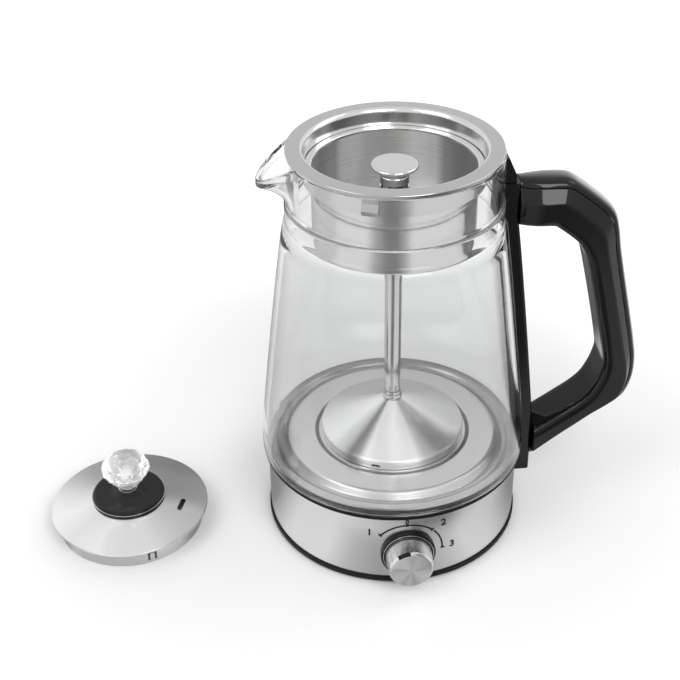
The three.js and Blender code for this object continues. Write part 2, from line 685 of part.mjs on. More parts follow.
// The pressed dish: plateau, bevel, channel and flange, one sheet thick
function heatingPlate() {
  const top = [
    [0, PLATE_TOP], [PLATEAU_RADIUS, PLATE_TOP], [CHANNEL_INNER, PLATE_CHANNEL],
    [CHANNEL_OUTER, PLATE_CHANNEL], [PLATE_LIP, PLATE_FLANGE], [PLATE_RADIUS, PLATE_FLANGE],
  ];
  const under = top.map(([radius, height]) => [radius, height - PLATE_SHEET]).reverse();
  return turned([...top, ...under]);
}

function plateSeal() {
  const top = PLATE_FLANGE - PLATE_SHEET - FIT;
  return turned([
    [PLATE_RADIUS - PLATE_SEAL_WIDTH, CLAMP_TOP + FIT], [PLATE_RADIUS, CLAMP_TOP + FIT],
    [PLATE_RADIUS, top], [PLATE_RADIUS - PLATE_SEAL_WIDTH, top],
  ]);
}

// A point on the element's circle, measured from +Y towards +X or -X
function onElement(angle, height) {
  return [Math.sin(angle) * ELEMENT_RADIUS, Math.cos(angle) * ELEMENT_RADIUS, height];
}

// Where the element's two cold pins come down, one each side of +Y
function elementPin(side) {
  return onElement(side * (ELEMENT_GAP_ANGLE / 2), 0).slice(0, 2);
}

function heatingElement() {
  const first = ELEMENT_GAP_ANGLE / 2;
  const corner = ELEMENT_BEND / ELEMENT_RADIUS;
  const leg = [
    onElement(first, ELEMENT_HEIGHT - ELEMENT_PIN_DROP),
    onElement(first, ELEMENT_HEIGHT - ELEMENT_BEND),
    onElement(first + corner * (1 - Math.SQRT1_2), ELEMENT_HEIGHT - ELEMENT_BEND * (1 - Math.SQRT1_2)),
  ];
  const sweep = FULL_TURN - (first + corner) * 2;
  const ring = [];
  for (let i = 0; i <= SMALL_ROUND; i += 1) {
    ring.push(onElement(first + corner + (i / SMALL_ROUND) * sweep, ELEMENT_HEIGHT));
  }
  const otherLeg = leg.map(([x, y, z]) => [-x, y, z]).reverse();
  return bentRod([...leg, ...ring, ...otherLeg], ELEMENT_TUBE_RADIUS, ELEMENT_STEPS);
}

function thermostat() {
  const top = SPREADER_BOTTOM - FIT;
  const bottom = top - THERMOSTAT_HEIGHT;
  return turned([
    [0, bottom - THERMOSTAT_STEM_HEIGHT], [THERMOSTAT_STEM_RADIUS, bottom - THERMOSTAT_STEM_HEIGHT],
    [THERMOSTAT_STEM_RADIUS, bottom], [THERMOSTAT_RADIUS, bottom], [THERMOSTAT_RADIUS, top], [0, top],
  ], SMALL_ROUND);
}

function thermalFuse() {
  const height = SPREADER_BOTTOM - FIT - FUSE_RADIUS;
  return rodAlongX(FUSE_RADIUS, -FUSE_LENGTH / 2, FUSE_LENGTH / 2).translate(0, -FUSE_OFFSET, height);
}

// The switch's box and threaded bush, bored for the shaft
function switchBody() {
  const front = SWITCH_SETBACK - SKIRT_INNER;
  const back = front + SWITCH_DEPTH;
  const body = block(
    [-SWITCH_WIDTH / 2, front, KNOB_HEIGHT - SWITCH_HEIGHT / 2],
    [SWITCH_WIDTH / 2, back, KNOB_HEIGHT + SWITCH_HEIGHT / 2],
  );
  const middle = SWITCH_DEPTH / 2 - back;
  const face = BASE_RADIUS + BEZEL_DEPTH;
  const bush = towardsFront(rod(BUSH_RADIUS, middle, face));
  const bore = towardsFront(rod(SHAFT_RADIUS + FIT, middle, face + OVERRUN));
  return cut(join(body, bush.translate(0, 0, KNOB_HEIGHT)), bore.translate(0, 0, KNOB_HEIGHT));
}

function switchShaft() {
  const back = SKIRT_INNER - SWITCH_SETBACK - SWITCH_DEPTH / 2 + FIT;
  const front = BASE_RADIUS + BEZEL_DEPTH + KNOB_BORE_DEPTH;
  return towardsFront(rod(SHAFT_RADIUS, back, front));
}

// A tool with the skirt's outside, for pieces whose backs follow it
function skirtTool() {
  return turned([
    [0, -OVERRUN], [BASE_RADIUS + FIT, -OVERRUN], [BASE_RADIUS + FIT, SKIRT_TOP + OVERRUN],
    [0, SKIRT_TOP + OVERRUN],
  ]);
}

function knobBezel() {
  const face = BASE_RADIUS + BEZEL_DEPTH;
  const inner = BUSH_RADIUS + FIT;
  const ring = towardsFront(turned([
    [inner, BASE_RADIUS - BEZEL_RADIUS], [BEZEL_RADIUS, BASE_RADIUS - BEZEL_RADIUS],
    [BEZEL_RADIUS, face - BEZEL_CHAMFER], [BEZEL_RADIUS - BEZEL_CHAMFER, face], [inner, face],
  ], ROUND)).translate(0, 0, KNOB_HEIGHT);
  return cut(ring, skirtTool());
}

function knob() {
  const back = BASE_RADIUS + BEZEL_DEPTH + FIT;
  const front = back + KNOB_LENGTH;
  return towardsFront(turned([
    [SHAFT_RADIUS + FIT, back], [KNOB_RADIUS, back], [KNOB_RADIUS, front - KNOB_CHAMFER],
    [KNOB_RADIUS - KNOB_CHAMFER, front], [0, front], [0, back + KNOB_BORE_DEPTH],
    [SHAFT_RADIUS + FIT, back + KNOB_BORE_DEPTH],
  ], ROUND));
}

function pinPlaces() {
  return [
    { name: 'pin_live', wire: wireBrown, x: -PIN_SPACING, z: INLET_HEIGHT - PIN_RISE / 2 },
    { name: 'pin_neutral', wire: wireBlue, x: PIN_SPACING, z: INLET_HEIGHT - PIN_RISE / 2 },
    { name: 'pin_earth', wire: wireGreen, x: 0, z: INLET_HEIGHT + PIN_RISE / 2 },
  ];
}

function inletSocket() {
  const x = INLET_BODY_WIDTH / 2 + INLET_FLANGE_MARGIN;
  const z = INLET_BODY_HEIGHT / 2 + INLET_FLANGE_MARGIN;
  const flange = cut(
    block([-x, BASE_RADIUS - INLET_BODY_DEPTH / 2, INLET_HEIGHT - z], [x, INLET_MOUTH, INLET_HEIGHT + z]),
    skirtTool(),
  );
  const holes = pinPlaces().map((pin) => block(
    [pin.x - PIN_WIDTH / 2 - FIT, INLET_BACK - OVERRUN, pin.z - PIN_HEIGHT / 2 - FIT],
    [pin.x + PIN_WIDTH / 2 + FIT, INLET_FLOOR + OVERRUN, pin.z + PIN_HEIGHT / 2 + FIT],
  ));
  const cavity = inletBody(-INLET_WALL, INLET_FLOOR, INLET_MOUTH + OVERRUN);
  return cut(join(flange, inletBody(0, INLET_BACK, INLET_MOUTH)), cavity, ...holes);
}

function inletPin(pin) {
  return block(
    [pin.x - PIN_WIDTH / 2, INLET_BACK - PIN_TAIL / 2, pin.z - PIN_HEIGHT / 2],
    [pin.x + PIN_WIDTH / 2, INLET_FLOOR + PIN_LENGTH, pin.z + PIN_HEIGHT / 2],
  );
}

// Wires: each leaves its terminals straight and ends a gap short of them
function wires(base) {
  const lead = PIN_TAIL / 2;
  const tail = INLET_BACK - lead - WIRE_END_GAP;
  const [live, neutral, earth] = pinPlaces();
  const fromPin = (pin) => [[pin.x, tail, pin.z], [pin.x, tail - lead, pin.z]];
  const toElement = (side) => [
    [...elementPin(side), ELEMENT_HEIGHT - ELEMENT_PIN_DROP - lead],
    [...elementPin(side), ELEMENT_HEIGHT - ELEMENT_PIN_DROP - WIRE_END_GAP],
  ];
  const back = SWITCH_SETBACK + SWITCH_DEPTH + WIRE_END_GAP - SKIRT_INNER;
  const fromSwitch = (side) => [
    [side * SWITCH_WIDTH / 4, back, KNOB_HEIGHT],
    [side * SWITCH_WIDTH / 4, back + lead, KNOB_HEIGHT],
  ];
  const run = (name, finish, points) => piece(base, name, bentRod(points, WIRE_RADIUS, WIRE_STEPS), finish);
  run('wire_live', live.wire, [
    ...fromPin(live), [live.x, ELEMENT_RADIUS / 2, WIRE_FLOOR], [0, 0, WIRE_FLOOR],
    [SWITCH_WIDTH / 4, -ELEMENT_RADIUS / 2, WIRE_FLOOR], ...fromSwitch(1).reverse(),
  ]);
  run('wire_switched', live.wire, [
    ...fromSwitch(-1), [-WIRE_SPREAD, 0, KNOB_HEIGHT], [-WIRE_SPREAD, WIRE_SPREAD, KNOB_HEIGHT],
    ...toElement(-1),
  ]);
  run('wire_neutral', neutral.wire, [...fromPin(neutral), ...toElement(1)]);
  const angle = FULL_TURN / POST_COUNT;
  const post = [Math.cos(angle) * POST_PITCH, Math.sin(angle) * POST_PITCH - POST_RADIUS - WIRE_RADIUS];
  const height = INLET_HEIGHT + PIN_TAIL;
  run('wire_earth', earth.wire, [
    ...fromPin(earth), [post[0] / 2, tail - lead, height], [post[0], post[1] - lead, height],
    [post[0], post[1], height],
  ]);
}

// The body that the handle must clear: skirt, seal ring and jug, set out by the fit
function jugTool() {
  return turned([
    [0, -OVERRUN], [BASE_RADIUS + FIT, -OVERRUN], [BASE_RADIUS + FIT, SEAL_BOTTOM - FIT],
    [SEAL_RADIUS + FIT, SEAL_BOTTOM - FIT], [SEAL_RADIUS + FIT, GLASS_BOTTOM - FIT],
    [JUG_FOOT_RADIUS + FIT, GLASS_BOTTOM - FIT], ...jugOutline(FIT), [0, JUG_TOP],
  ]);
}

// Outline of the spine from its foot up, its outside set out by a gap
function spineOutline(gap) {
  const outer = jugOutline(SPINE_DEPTH + gap).filter(([, height]) => height < SPINE_TOP);
  const foot = outer[0][0];
  return [
    [0, SPINE_BOTTOM], [foot - SPINE_CHAMFER, SPINE_BOTTOM], [foot, SPINE_BOTTOM + SPINE_CHAMFER],
    ...outer, [NECK_RADIUS + SPINE_DEPTH + gap, SPINE_TOP], [0, SPINE_TOP],
  ];
}

// A screw along X, or with a gap the hole for it, its head's start led in
function handleScrew(head, height, gap, lead) {
  const seat = head + HANDLE_SCREW_HEAD + gap;
  return turned([
    [0, head - lead], [HANDLE_SCREW_HEAD_RADIUS + gap, head - lead], [HANDLE_SCREW_HEAD_RADIUS + gap, seat],
    [HANDLE_SCREW_RADIUS + gap, seat], [HANDLE_SCREW_RADIUS + gap, head + HANDLE_SCREW_LENGTH + gap],
    [0, head + HANDLE_SCREW_LENGTH + gap],
  ], SMALL_ROUND).rotateY(HALF_TURN / 2).translate(0, 0, height);
}

function screwTools() {
  return [
    handleScrew(UPPER_HEAD, UPPER_SCREW_HEIGHT, FIT, OVERRUN),
    handleScrew(LOWER_HEAD, LOWER_SCREW_HEIGHT, FIT, OVERRUN),
  ];
}

function handleSpine() {
  return cut(slab(spineOutline(0), SPINE_HALF_WIDTH), jugTool(), ...screwTools());
}

function handleHook() {
  const base = SPINE_TOP + FIT;
  const outer = NECK_RADIUS + SPINE_DEPTH;
  const tip = NECK_RADIUS + SPINE_DEPTH / 4;
  const outline = [
    [0, base], [outer, base], [outer - FIT, base + HOOK_HEIGHT / 3], [tip, base + HOOK_HEIGHT],
    [0, base + HOOK_HEIGHT],
  ];
  return cut(slab(outline, HOOK_HALF_WIDTH), jugTool());
}

function handlePoint([x, z]) {
  return new THREE.Vector3(
    HANDLE_ROOT + x * (HANDLE_REACH - HANDLE_ROOT),
    0,
    HANDLE_BOTTOM + z * (HANDLE_TOP - HANDLE_BOTTOM),
  );
}

// One station across the handle: depths from its outer line, half widths along Y
function handleRing(station, profile) {
  const outer = handlePoint(handleOuterShares[station]);
  const inner = handlePoint(handleInnerShares[station]);
  const thickness = outer.distanceTo(inner);
  const inward = inner.clone().sub(outer).normalize();
  const side = (sign) => ([depth, halfWidth]) => (
    outer.clone().addScaledVector(inward, depth).setY(sign * halfWidth)
  );
  const half = profile(thickness, handleBandShares[station] * HANDLE_BAND);
  return [...half.map(side(1)), ...half.map(side(-1)).reverse()];
}

function capProfile() {
  const [edge, shoulder, seam] = handleFaceShares.map((share) => share * HANDLE_HALF_WIDTH);
  return [[0, edge], [HANDLE_CAP_DEPTH * capShoulderShare, shoulder], [HANDLE_CAP_DEPTH, seam]];
}

function bodyProfile(thickness, band) {
  const seam = handleFaceShares[2] * HANDLE_HALF_WIDTH;
  const inner = handleFaceShares[3] * HANDLE_HALF_WIDTH;
  const start = HANDLE_CAP_DEPTH + FIT;
  return [
    [start, seam], [start + band, HANDLE_HALF_WIDTH],
    [thickness - HANDLE_INNER_EASE, HANDLE_HALF_WIDTH], [thickness, inner],
  ];
}

// The spine's outside made wide, so that the arms end a fit's gap from it
function spineTool() {
  const outline = spineOutline(FIT);
  outline[0][1] = -OVERRUN;
  outline[1] = [outline[2][0], -OVERRUN];
  outline[outline.length - 1][1] = RIM_TOP;
  outline[outline.length - 2][1] = RIM_TOP;
  return slab(outline, HANDLE_HALF_WIDTH * 2);
}

function handleCap() {
  return cut(loft(handleOuterShares.map((share, station) => handleRing(station, capProfile))), spineTool());
}

function handleBody() {
  const grip = loft(handleOuterShares.map((share, station) => handleRing(station, bodyProfile)));
  return cut(grip, spineTool(), ...screwTools());
}

function basketRim() {
  const under = RIM_TOP - RIM_SHEET;
  const shoulder = COLLAR_BOTTOM + SHOULDER_HEIGHT;
  const shoulderRadius = CUP_RADIUS + FIT;
  return turned([
    [COLLAR_INNER_RADIUS + RIM_CHAMFER, RIM_TOP], [RIM_RADIUS - RIM_EDGE, RIM_TOP],
    [RIM_RADIUS, RIM_TOP - RIM_EDGE], [RIM_RADIUS, under + RIM_EDGE], [RIM_RADIUS - RIM_EDGE, under],
    [COLLAR_RADIUS + RIM_CHAMFER, under], [COLLAR_RADIUS, under - RIM_CHAMFER],
    [COLLAR_RADIUS, COLLAR_BOTTOM],
    [shoulderRadius, COLLAR_BOTTOM], [shoulderRadius, shoulder], [COLLAR_INNER_RADIUS, shoulder],
    [COLLAR_INNER_RADIUS, RIM_TOP - RIM_CHAMFER],
  ]);
}

function floorHoles() {
  const hole = () => rod(HOLE_RADIUS, CUP_BOTTOM - OVERRUN, CUP_BOTTOM + CUP_SHEET + OVERRUN, HOLE_SIDES);
  return holePitchShares.flatMap((share, row) => (
    around(holeCounts[row], 0, () => hole().translate(share * CUP_INNER_RADIUS, 0, 0))
  ));
}

function basketCup() {
  const bore = TUBE_RADIUS + FIT;
  const cornerRadius = CUP_RADIUS - CUP_CORNER;
  const cup = turned([
    [bore, CUP_BOTTOM], [cornerRadius, CUP_BOTTOM], [CUP_RADIUS, CUP_BOTTOM + CUP_CORNER],
    [CUP_RADIUS, CUP_TOP - CUP_SHEET], [CUP_FLANGE_RADIUS, CUP_TOP - CUP_SHEET],
    [CUP_FLANGE_RADIUS, CUP_TOP],
    [CUP_INNER_RADIUS, CUP_TOP], [CUP_INNER_RADIUS, CUP_BOTTOM + CUP_CORNER],
    [cornerRadius, CUP_BOTTOM + CUP_SHEET],
    [bore, CUP_BOTTOM + CUP_SHEET],
  ]);
  return cut(cup, ...floorHoles());
}

// A leaf spring on the collar's outside, bowed out to press on the jug's neck
function rimSpring() {
  const inner = COLLAR_RADIUS + FIT;
  const top = COLLAR_BOTTOM + SPRING_HEIGHT;
  const middle = COLLAR_BOTTOM + SPRING_HEIGHT / 3;
  return slab([
    [inner, top], [inner, top - SPRING_HEIGHT / 3], [inner + SPRING_BULGE - SPRING_SHEET, middle],
    [inner, COLLAR_BOTTOM], [inner + SPRING_SHEET, COLLAR_BOTTOM], [inner + SPRING_BULGE, middle],
    [inner + SPRING_SHEET, top - SPRING_HEIGHT / 3], [inner + SPRING_SHEET, top],
  ], SPRING_WIDTH / 2);
}

function riserTube() {
  const bore = TUBE_RADIUS - TUBE_WALL;
  return turned([
    [bore, TUBE_BOTTOM], [TUBE_RADIUS, TUBE_BOTTOM], [TUBE_RADIUS, TUBE_TOP], [bore, TUBE_TOP],
  ], SMALL_ROUND);
}

function tubeRing(radius, bottom, height, facets) {
  const blank = rod(radius, bottom, bottom + height, facets);
  return cut(blank, rod(TUBE_RADIUS + FIT, bottom - OVERRUN, bottom + height + OVERRUN));
}

// The funnel that stands on the plate: a cone with an upright wall and four notches
function funnelCone() {
  const top = FUNNEL_BASE + FUNNEL_HEIGHT;
  const wallTop = FUNNEL_BASE + FUNNEL_WALL_HEIGHT;
  const inner = FUNNEL_RADIUS - FUNNEL_SHEET;
  const bore = TUBE_RADIUS + FIT;
  const cone = turned([
    [FUNNEL_RADIUS, FUNNEL_BASE], [FUNNEL_RADIUS, wallTop],
    [FUNNEL_RADIUS - FUNNEL_EDGE, wallTop + FUNNEL_EDGE / 2],
    [bore + FUNNEL_SHEET, top], [bore, top], [bore, top - FUNNEL_SHEET],
    [inner - FUNNEL_EDGE, wallTop + FUNNEL_EDGE / 2 - FUNNEL_SHEET], [inner, wallTop - FUNNEL_SHEET],
    [inner, FUNNEL_BASE],
  ]);
  const notchBottom = FUNNEL_BASE + NOTCH_BASE;
  const notches = around(NOTCH_COUNT, NOTCH_ANGLE, () => block(
    [inner - OVERRUN, -NOTCH_WIDTH / 2, notchBottom],
    [FUNNEL_RADIUS + OVERRUN, NOTCH_WIDTH / 2, notchBottom + NOTCH_HEIGHT],
  ));
  return cut(cone, ...notches);
}

function sprayCap() {
  const cap = turned([
    [0, CAP_TOP], [CAP_RADIUS - CAP_EDGE, CAP_TOP], [CAP_RADIUS, CAP_TOP - CAP_EDGE],
    [CAP_RADIUS, CAP_DISC_BOTTOM + CAP_EDGE / 2], [CAP_RADIUS - CAP_EDGE, CAP_DISC_BOTTOM],
    [CAP_NECK_RADIUS, CAP_DISC_BOTTOM],
    [CAP_NECK_RADIUS, CAP_NECK_BOTTOM], [CAP_NECK_BORE, CAP_NECK_BOTTOM], [CAP_NECK_BORE, CAP_DISC_BOTTOM],
    [0, CAP_DISC_BOTTOM],
  ], ROUND / 2);
  const slotTop = CAP_DISC_BOTTOM - CAP_SLOT_DROP;
  const slots = around(CAP_SLOT_COUNT, 0, () => block(
    [CAP_NECK_BORE / 2, -CAP_SLOT_WIDTH / 2, slotTop - CAP_SLOT_HEIGHT],
    [CAP_NECK_RADIUS + OVERRUN, CAP_SLOT_WIDTH / 2, slotTop],
  ));
  return cut(cap, ...slots);
}

// Height of the dome's top face at a radius
function domeHeight(radius) {
  return LID_CROWN - LID_EDGE_DROP * (radius / LID_RADIUS) ** LID_POWER;
}

function lidDome() {
  const bore = LID_SCREW_RADIUS + FIT;
  const top = [];
  for (let i = 0; i <= LID_STEPS; i += 1) {
    const radius = bore + (LID_RADIUS - bore) * (i / LID_STEPS);
    top.push([radius, domeHeight(radius)]);
  }
  const under = top.map(([radius, height]) => [radius, height - LID_SHEET]).reverse();
  const slot = block(
    [VENT_PITCH - VENT_WIDTH / 2, -VENT_LENGTH / 2, LID_EDGE],
    [VENT_PITCH + VENT_WIDTH / 2, VENT_LENGTH / 2, LID_CROWN + OVERRUN],
  ).rotateZ(VENT_ANGLE);
  return cut(turned([...top, ...under]), slot);
}

function lidSkirt() {
  const ring = turned([
    [LID_SKIRT_INNER, 0], [LID_SKIRT_RADIUS, 0], [LID_SKIRT_RADIUS, LID_SKIRT_TOP],
    [LID_SKIRT_INNER, LID_SKIRT_TOP],
  ]);
  const tip = LID_SKIRT_TOP - TONGUE_DROP;
  const reach = [LID_SKIRT_INNER - OVERRUN, LID_SKIRT_RADIUS + OVERRUN];
  const half = TONGUE_WIDTH / 2;
  const slit = (start) => block(
    [reach[0], start, tip - TONGUE_HEIGHT], [reach[1], start + TONGUE_SLIT, tip],
  );
  const slits = [-half - TONGUE_SLIT, half].flatMap((start) => (
    around(TONGUE_COUNT, TONGUE_ANGLE, () => slit(start))
  ));
  const ends = around(TONGUE_COUNT, TONGUE_ANGLE, () => block(
    [reach[0], -half - TONGUE_SLIT, tip], [reach[1], half + TONGUE_SLIT, tip + TONGUE_SLIT],
  ));
  return cut(ring, ...slits, ...ends);
}

function lidDisc() {
  const bore = LID_SCREW_RADIUS + FIT;
  const seat = (radius) => [radius, domeHeight(radius) + FIT];
  const foot = DISC_TOP + DISC_CHAMFER + DISC_RISE;
  return turned([
    seat(bore), seat(DISC_RADIUS / 2), seat(DISC_RADIUS), [DISC_RADIUS, DISC_TOP],
    [DISC_RADIUS - DISC_CHAMFER, DISC_TOP + DISC_CHAMFER],
    [DISC_RADIUS / 2, DISC_TOP + DISC_CHAMFER + DISC_RISE / 3],
    [LID_NECK_RADIUS * neckFlareShare, foot], [LID_NECK_RADIUS, foot + DISC_RISE],
    [LID_NECK_RADIUS, foot + LID_NECK_HEIGHT - DISC_RISE], [bore, foot + LID_NECK_HEIGHT - DISC_RISE],
  ]);
}

function crystalKnob() {
  const outline = crystalShares.map(([radius, height]) => (
    [radius * CRYSTAL_RADIUS, CRYSTAL_BASE + height * CRYSTAL_HEIGHT]
  ));
  const gem = turned([[0, CRYSTAL_BASE], ...outline, [0, CRYSTAL_BASE + CRYSTAL_HEIGHT]], CRYSTAL_SIDES);
  return cut(gem, rod(LID_SCREW_RADIUS + FIT, CRYSTAL_BASE - OVERRUN, CRYSTAL_BASE + LID_SCREW_DEPTH));
}

function lidScrew() {
  const seat = domeHeight(LID_WASHER_RADIUS) - LID_SHEET - FIT - LID_WASHER_SHEET - FIT;
  return turned([
    [0, seat - LID_SCREW_HEAD], [LID_SCREW_HEAD_RADIUS, seat - LID_SCREW_HEAD],
    [LID_SCREW_HEAD_RADIUS, seat],
    [LID_SCREW_RADIUS, seat], [LID_SCREW_RADIUS, CRYSTAL_BASE + LID_SCREW_DEPTH - FIT],
    [0, CRYSTAL_BASE + LID_SCREW_DEPTH - FIT],
  ], SMALL_ROUND);
}

function lidWasher() {
  const top = domeHeight(LID_WASHER_RADIUS) - LID_SHEET - FIT;
  const bore = LID_SCREW_RADIUS + FIT;
  return turned([
    [bore, top - LID_WASHER_SHEET], [LID_WASHER_RADIUS, top - LID_WASHER_SHEET], [LID_WASHER_RADIUS, top],
    [bore, top],
  ], SMALL_ROUND);
}

// Base with everything that is fixed to it
const teaMaker = new THREE.Group();
const base = new THREE.Group();
piece(base, 'base_cover', baseCover(), mattBlack);
footPlaces().forEach(([x, y], i) => {
  piece(base, `foot_${i + 1}`, foot(), rubberBlack).position.set(x, y, 0);
});
for (let i = 0; i < POST_COUNT; i += 1) {
  piece(base, `cover_screw_${i + 1}`, coverScrew(), zincSteel).rotation.z = (i / POST_COUNT) * FULL_TURN;
}
piece(base, 'base_skirt', baseSkirt(), brushedSteel);
piece(base, 'seal_ring', sealRing(), rubberBlack);
piece(base, 'clamp_ring', clampRing(), castAluminium);
piece(base, 'glass_jug', glassJug(), clearGlass);
piece(base, 'heating_plate', heatingPlate(), satinSteel);
piece(base, 'plate_seal', plateSeal(), rubberBlack);
piece(base, 'heat_spreader', rod(SPREADER_RADIUS, SPREADER_BOTTOM, SPREADER_TOP, ROUND), castAluminium);
piece(base, 'heating_element', heatingElement(), satinSteel);
piece(base, 'thermostat', thermostat(), ceramicWhite);
piece(base, 'thermal_fuse', thermalFuse(), ceramicWhite);
piece(base, 'switch_body', switchBody(), mattBlack);
piece(base, 'knob_bezel', knobBezel(), glossBlack);
piece(base, 'inlet_socket', inletSocket(), mattBlack);
pinPlaces().forEach((pin) => piece(base, pin.name, inletPin(pin), brassMetal));
wires(base);
teaMaker.add(base);

// Handle
const handle = new THREE.Group();
piece(handle, 'handle_spine', handleSpine(), glossBlack);
piece(handle, 'handle_hook', handleHook(), glossBlack);
piece(handle, 'handle_body', handleBody(), glossBlack);
piece(handle, 'handle_cap', handleCap(), glossBlack);
piece(handle, 'handle_screw_upper', handleScrew(UPPER_HEAD, UPPER_SCREW_HEIGHT, 0, 0), zincSteel);
piece(handle, 'handle_screw_lower', handleScrew(LOWER_HEAD, LOWER_SCREW_HEIGHT, 0, 0), zincSteel);
teaMaker.add(handle);

// Control knob with its shaft
const control = new THREE.Group();
control.position.set(0, 0, KNOB_HEIGHT);
piece(control, 'switch_shaft', switchShaft(), brassMetal);
piece(control, 'control_knob', knob(), polishedSteel);
teaMaker.add(control);

// Basket with its riser tube and funnel
const basket = new THREE.Group();
piece(basket, 'basket_rim', basketRim(), brushedSteel);
piece(basket, 'basket_cup', basketCup(), brushedSteel);
for (let i = 0; i < SPRING_COUNT; i += 1) {
  const spring = piece(basket, `rim_spring_${i + 1}`, rimSpring(), brushedSteel);
  spring.rotation.z = SPRING_ANGLE + (i / SPRING_COUNT) * FULL_TURN;
}
piece(basket, 'riser_tube', riserTube(), polishedSteel);
const nut = tubeRing(NUT_RADIUS, CUP_BOTTOM + CUP_SHEET + FIT, NUT_HEIGHT, NUT_SIDES);
piece(basket, 'tube_nut', nut, brushedSteel);
const seat = tubeRing(SEAT_RADIUS, CAP_NECK_BOTTOM - FIT - SEAT_HEIGHT, SEAT_HEIGHT);
piece(basket, 'cap_seat', seat, brushedSteel);
const footCollar = tubeRing(COLLAR_FOOT_RADIUS, FUNNEL_BASE + FUNNEL_HEIGHT + FIT, COLLAR_FOOT_HEIGHT);
piece(basket, 'tube_collar', footCollar, polishedSteel);
piece(basket, 'funnel_cone', funnelCone(), brushedSteel);
teaMaker.add(basket);

// Spray cap
const cap = new THREE.Group();
piece(cap, 'spray_cap', sprayCap(), polishedSteel);
teaMaker.add(cap);

// Lid
const lid = new THREE.Group();
lid.position.set(LID_X, LID_Y, 0);
piece(lid, 'lid_dome', lidDome(), brushedSteel);
piece(lid, 'lid_skirt', lidSkirt(), brushedSteel);
piece(lid, 'lid_disc', lidDisc(), glossBlack);
piece(lid, 'crystal_knob', crystalKnob(), clearGlass);
piece(lid, 'lid_screw', lidScrew(), zincSteel);
piece(lid, 'lid_washer', lidWasher(), zincSteel);
teaMaker.add(lid);

export default teaMaker;
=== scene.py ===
"""Looks of the automatic tea maker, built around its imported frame. Sizes are in millimetres unless said."""

from math import cos, pi, radians, sin, sqrt

import bmesh
import bpy
from mathutils import Matrix, Vector

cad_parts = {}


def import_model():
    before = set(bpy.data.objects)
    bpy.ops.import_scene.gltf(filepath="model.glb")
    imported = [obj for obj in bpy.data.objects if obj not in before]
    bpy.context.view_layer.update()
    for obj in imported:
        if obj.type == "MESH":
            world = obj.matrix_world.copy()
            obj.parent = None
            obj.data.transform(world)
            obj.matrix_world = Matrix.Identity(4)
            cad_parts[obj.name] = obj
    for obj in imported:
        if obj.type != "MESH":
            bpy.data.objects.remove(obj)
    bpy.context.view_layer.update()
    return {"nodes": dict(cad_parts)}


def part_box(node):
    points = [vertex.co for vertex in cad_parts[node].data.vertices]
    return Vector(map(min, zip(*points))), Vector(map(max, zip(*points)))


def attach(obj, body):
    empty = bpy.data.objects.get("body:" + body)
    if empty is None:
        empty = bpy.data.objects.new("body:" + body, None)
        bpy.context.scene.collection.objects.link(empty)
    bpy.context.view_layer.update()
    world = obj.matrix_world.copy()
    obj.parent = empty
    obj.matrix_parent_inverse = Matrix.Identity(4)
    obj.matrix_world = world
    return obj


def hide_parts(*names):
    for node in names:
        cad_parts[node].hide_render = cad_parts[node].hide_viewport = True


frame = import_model()

MM = 0.001
TURN = 2 * pi
FACETS = 160
KNOB_FACETS = 120
SMALL_FACETS = 72
ARC_STEPS = 5
CORNER_SHARE = 0.49
ON_AXIS = 0.003
MERGE_METRES = 1e-6
FIT = 0.3
SMOOTH_ANGLE = radians(34)


def corners(node):
    """Lowest and highest corner of a CAD node."""
    low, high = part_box(node)
    return [value / MM for value in low], [value / MM for value in high]


def span(node):
    """Radius, lowest and highest point of a round CAD node."""
    low, high = corners(node)
    return (high[0] - low[0]) / 2, low[2], high[2]


def middle_of(node):
    low, high = corners(node)
    return [(a + b) / 2 for a, b in zip(low, high)]


# Mesh helpers

def rounded(outline):
    """Outline points (x, z) or (x, z, reach), each corner with a reach turned into an arc."""
    points = []
    for i, corner in enumerate(outline):
        here = Vector(corner[:2])
        if len(corner) < 3:
            points.append(here)
            continue
        back = Vector(outline[i - 1][:2]) - here
        ahead = Vector(outline[(i + 1) % len(outline)][:2]) - here
        reach = min(corner[2], back.length * CORNER_SHARE, ahead.length * CORNER_SHARE)
        start = here + back.normalized() * reach
        end = here + ahead.normalized() * reach
        for step in range(ARC_STEPS + 1):
            t = step / ARC_STEPS
            points.append(start * (1 - t) ** 2 + here * 2 * t * (1 - t) + end * t ** 2)
    return points


def linked(name, data, place=(0, 0, 0)):
    """A new object in the scene, its place in metres."""
    obj = bpy.data.objects.new(name, data)
    obj.location = place
    bpy.context.scene.collection.objects.link(obj)
    return obj


def mesh_from(name, verts, faces):
    """A mesh from points in metres."""
    mesh = bpy.data.meshes.new(name)
    mesh.from_pydata(verts, [], faces)
    return mesh


def to_object(name, verts, faces, origin=(0, 0, 0)):
    """A mesh object from points in millimetres, with its faces turned outward and shaded smooth."""
    mesh = mesh_from(name, [Vector(v) * MM for v in verts], faces)
    mesh.validate()
    work = bmesh.new()
    work.from_mesh(mesh)
    bmesh.ops.remove_doubles(work, verts=work.verts, dist=MERGE_METRES)
    bmesh.ops.recalc_face_normals(work, faces=work.faces)
    work.to_mesh(mesh)
    work.free()
    obj = linked(name, mesh, Vector(origin) * MM)
    shade(obj)
    return obj


def shade(obj):
    mesh = obj.data
    mesh.polygons.foreach_set("use_smooth", [True] * len(mesh.polygons))
    mesh.set_sharp_from_angle(angle=SMOOTH_ANGLE)


def finished(obj, finish):
    obj.data.materials.clear()
    obj.data.materials.append(finish)


def assign(obj, finish, body, slot, *replaced):
    """Gives a piece its material and its body, and hides the nodes that it stands for; slot is not used."""
    finished(obj, finish)
    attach(obj, body)
    if replaced:
        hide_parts(*replaced)


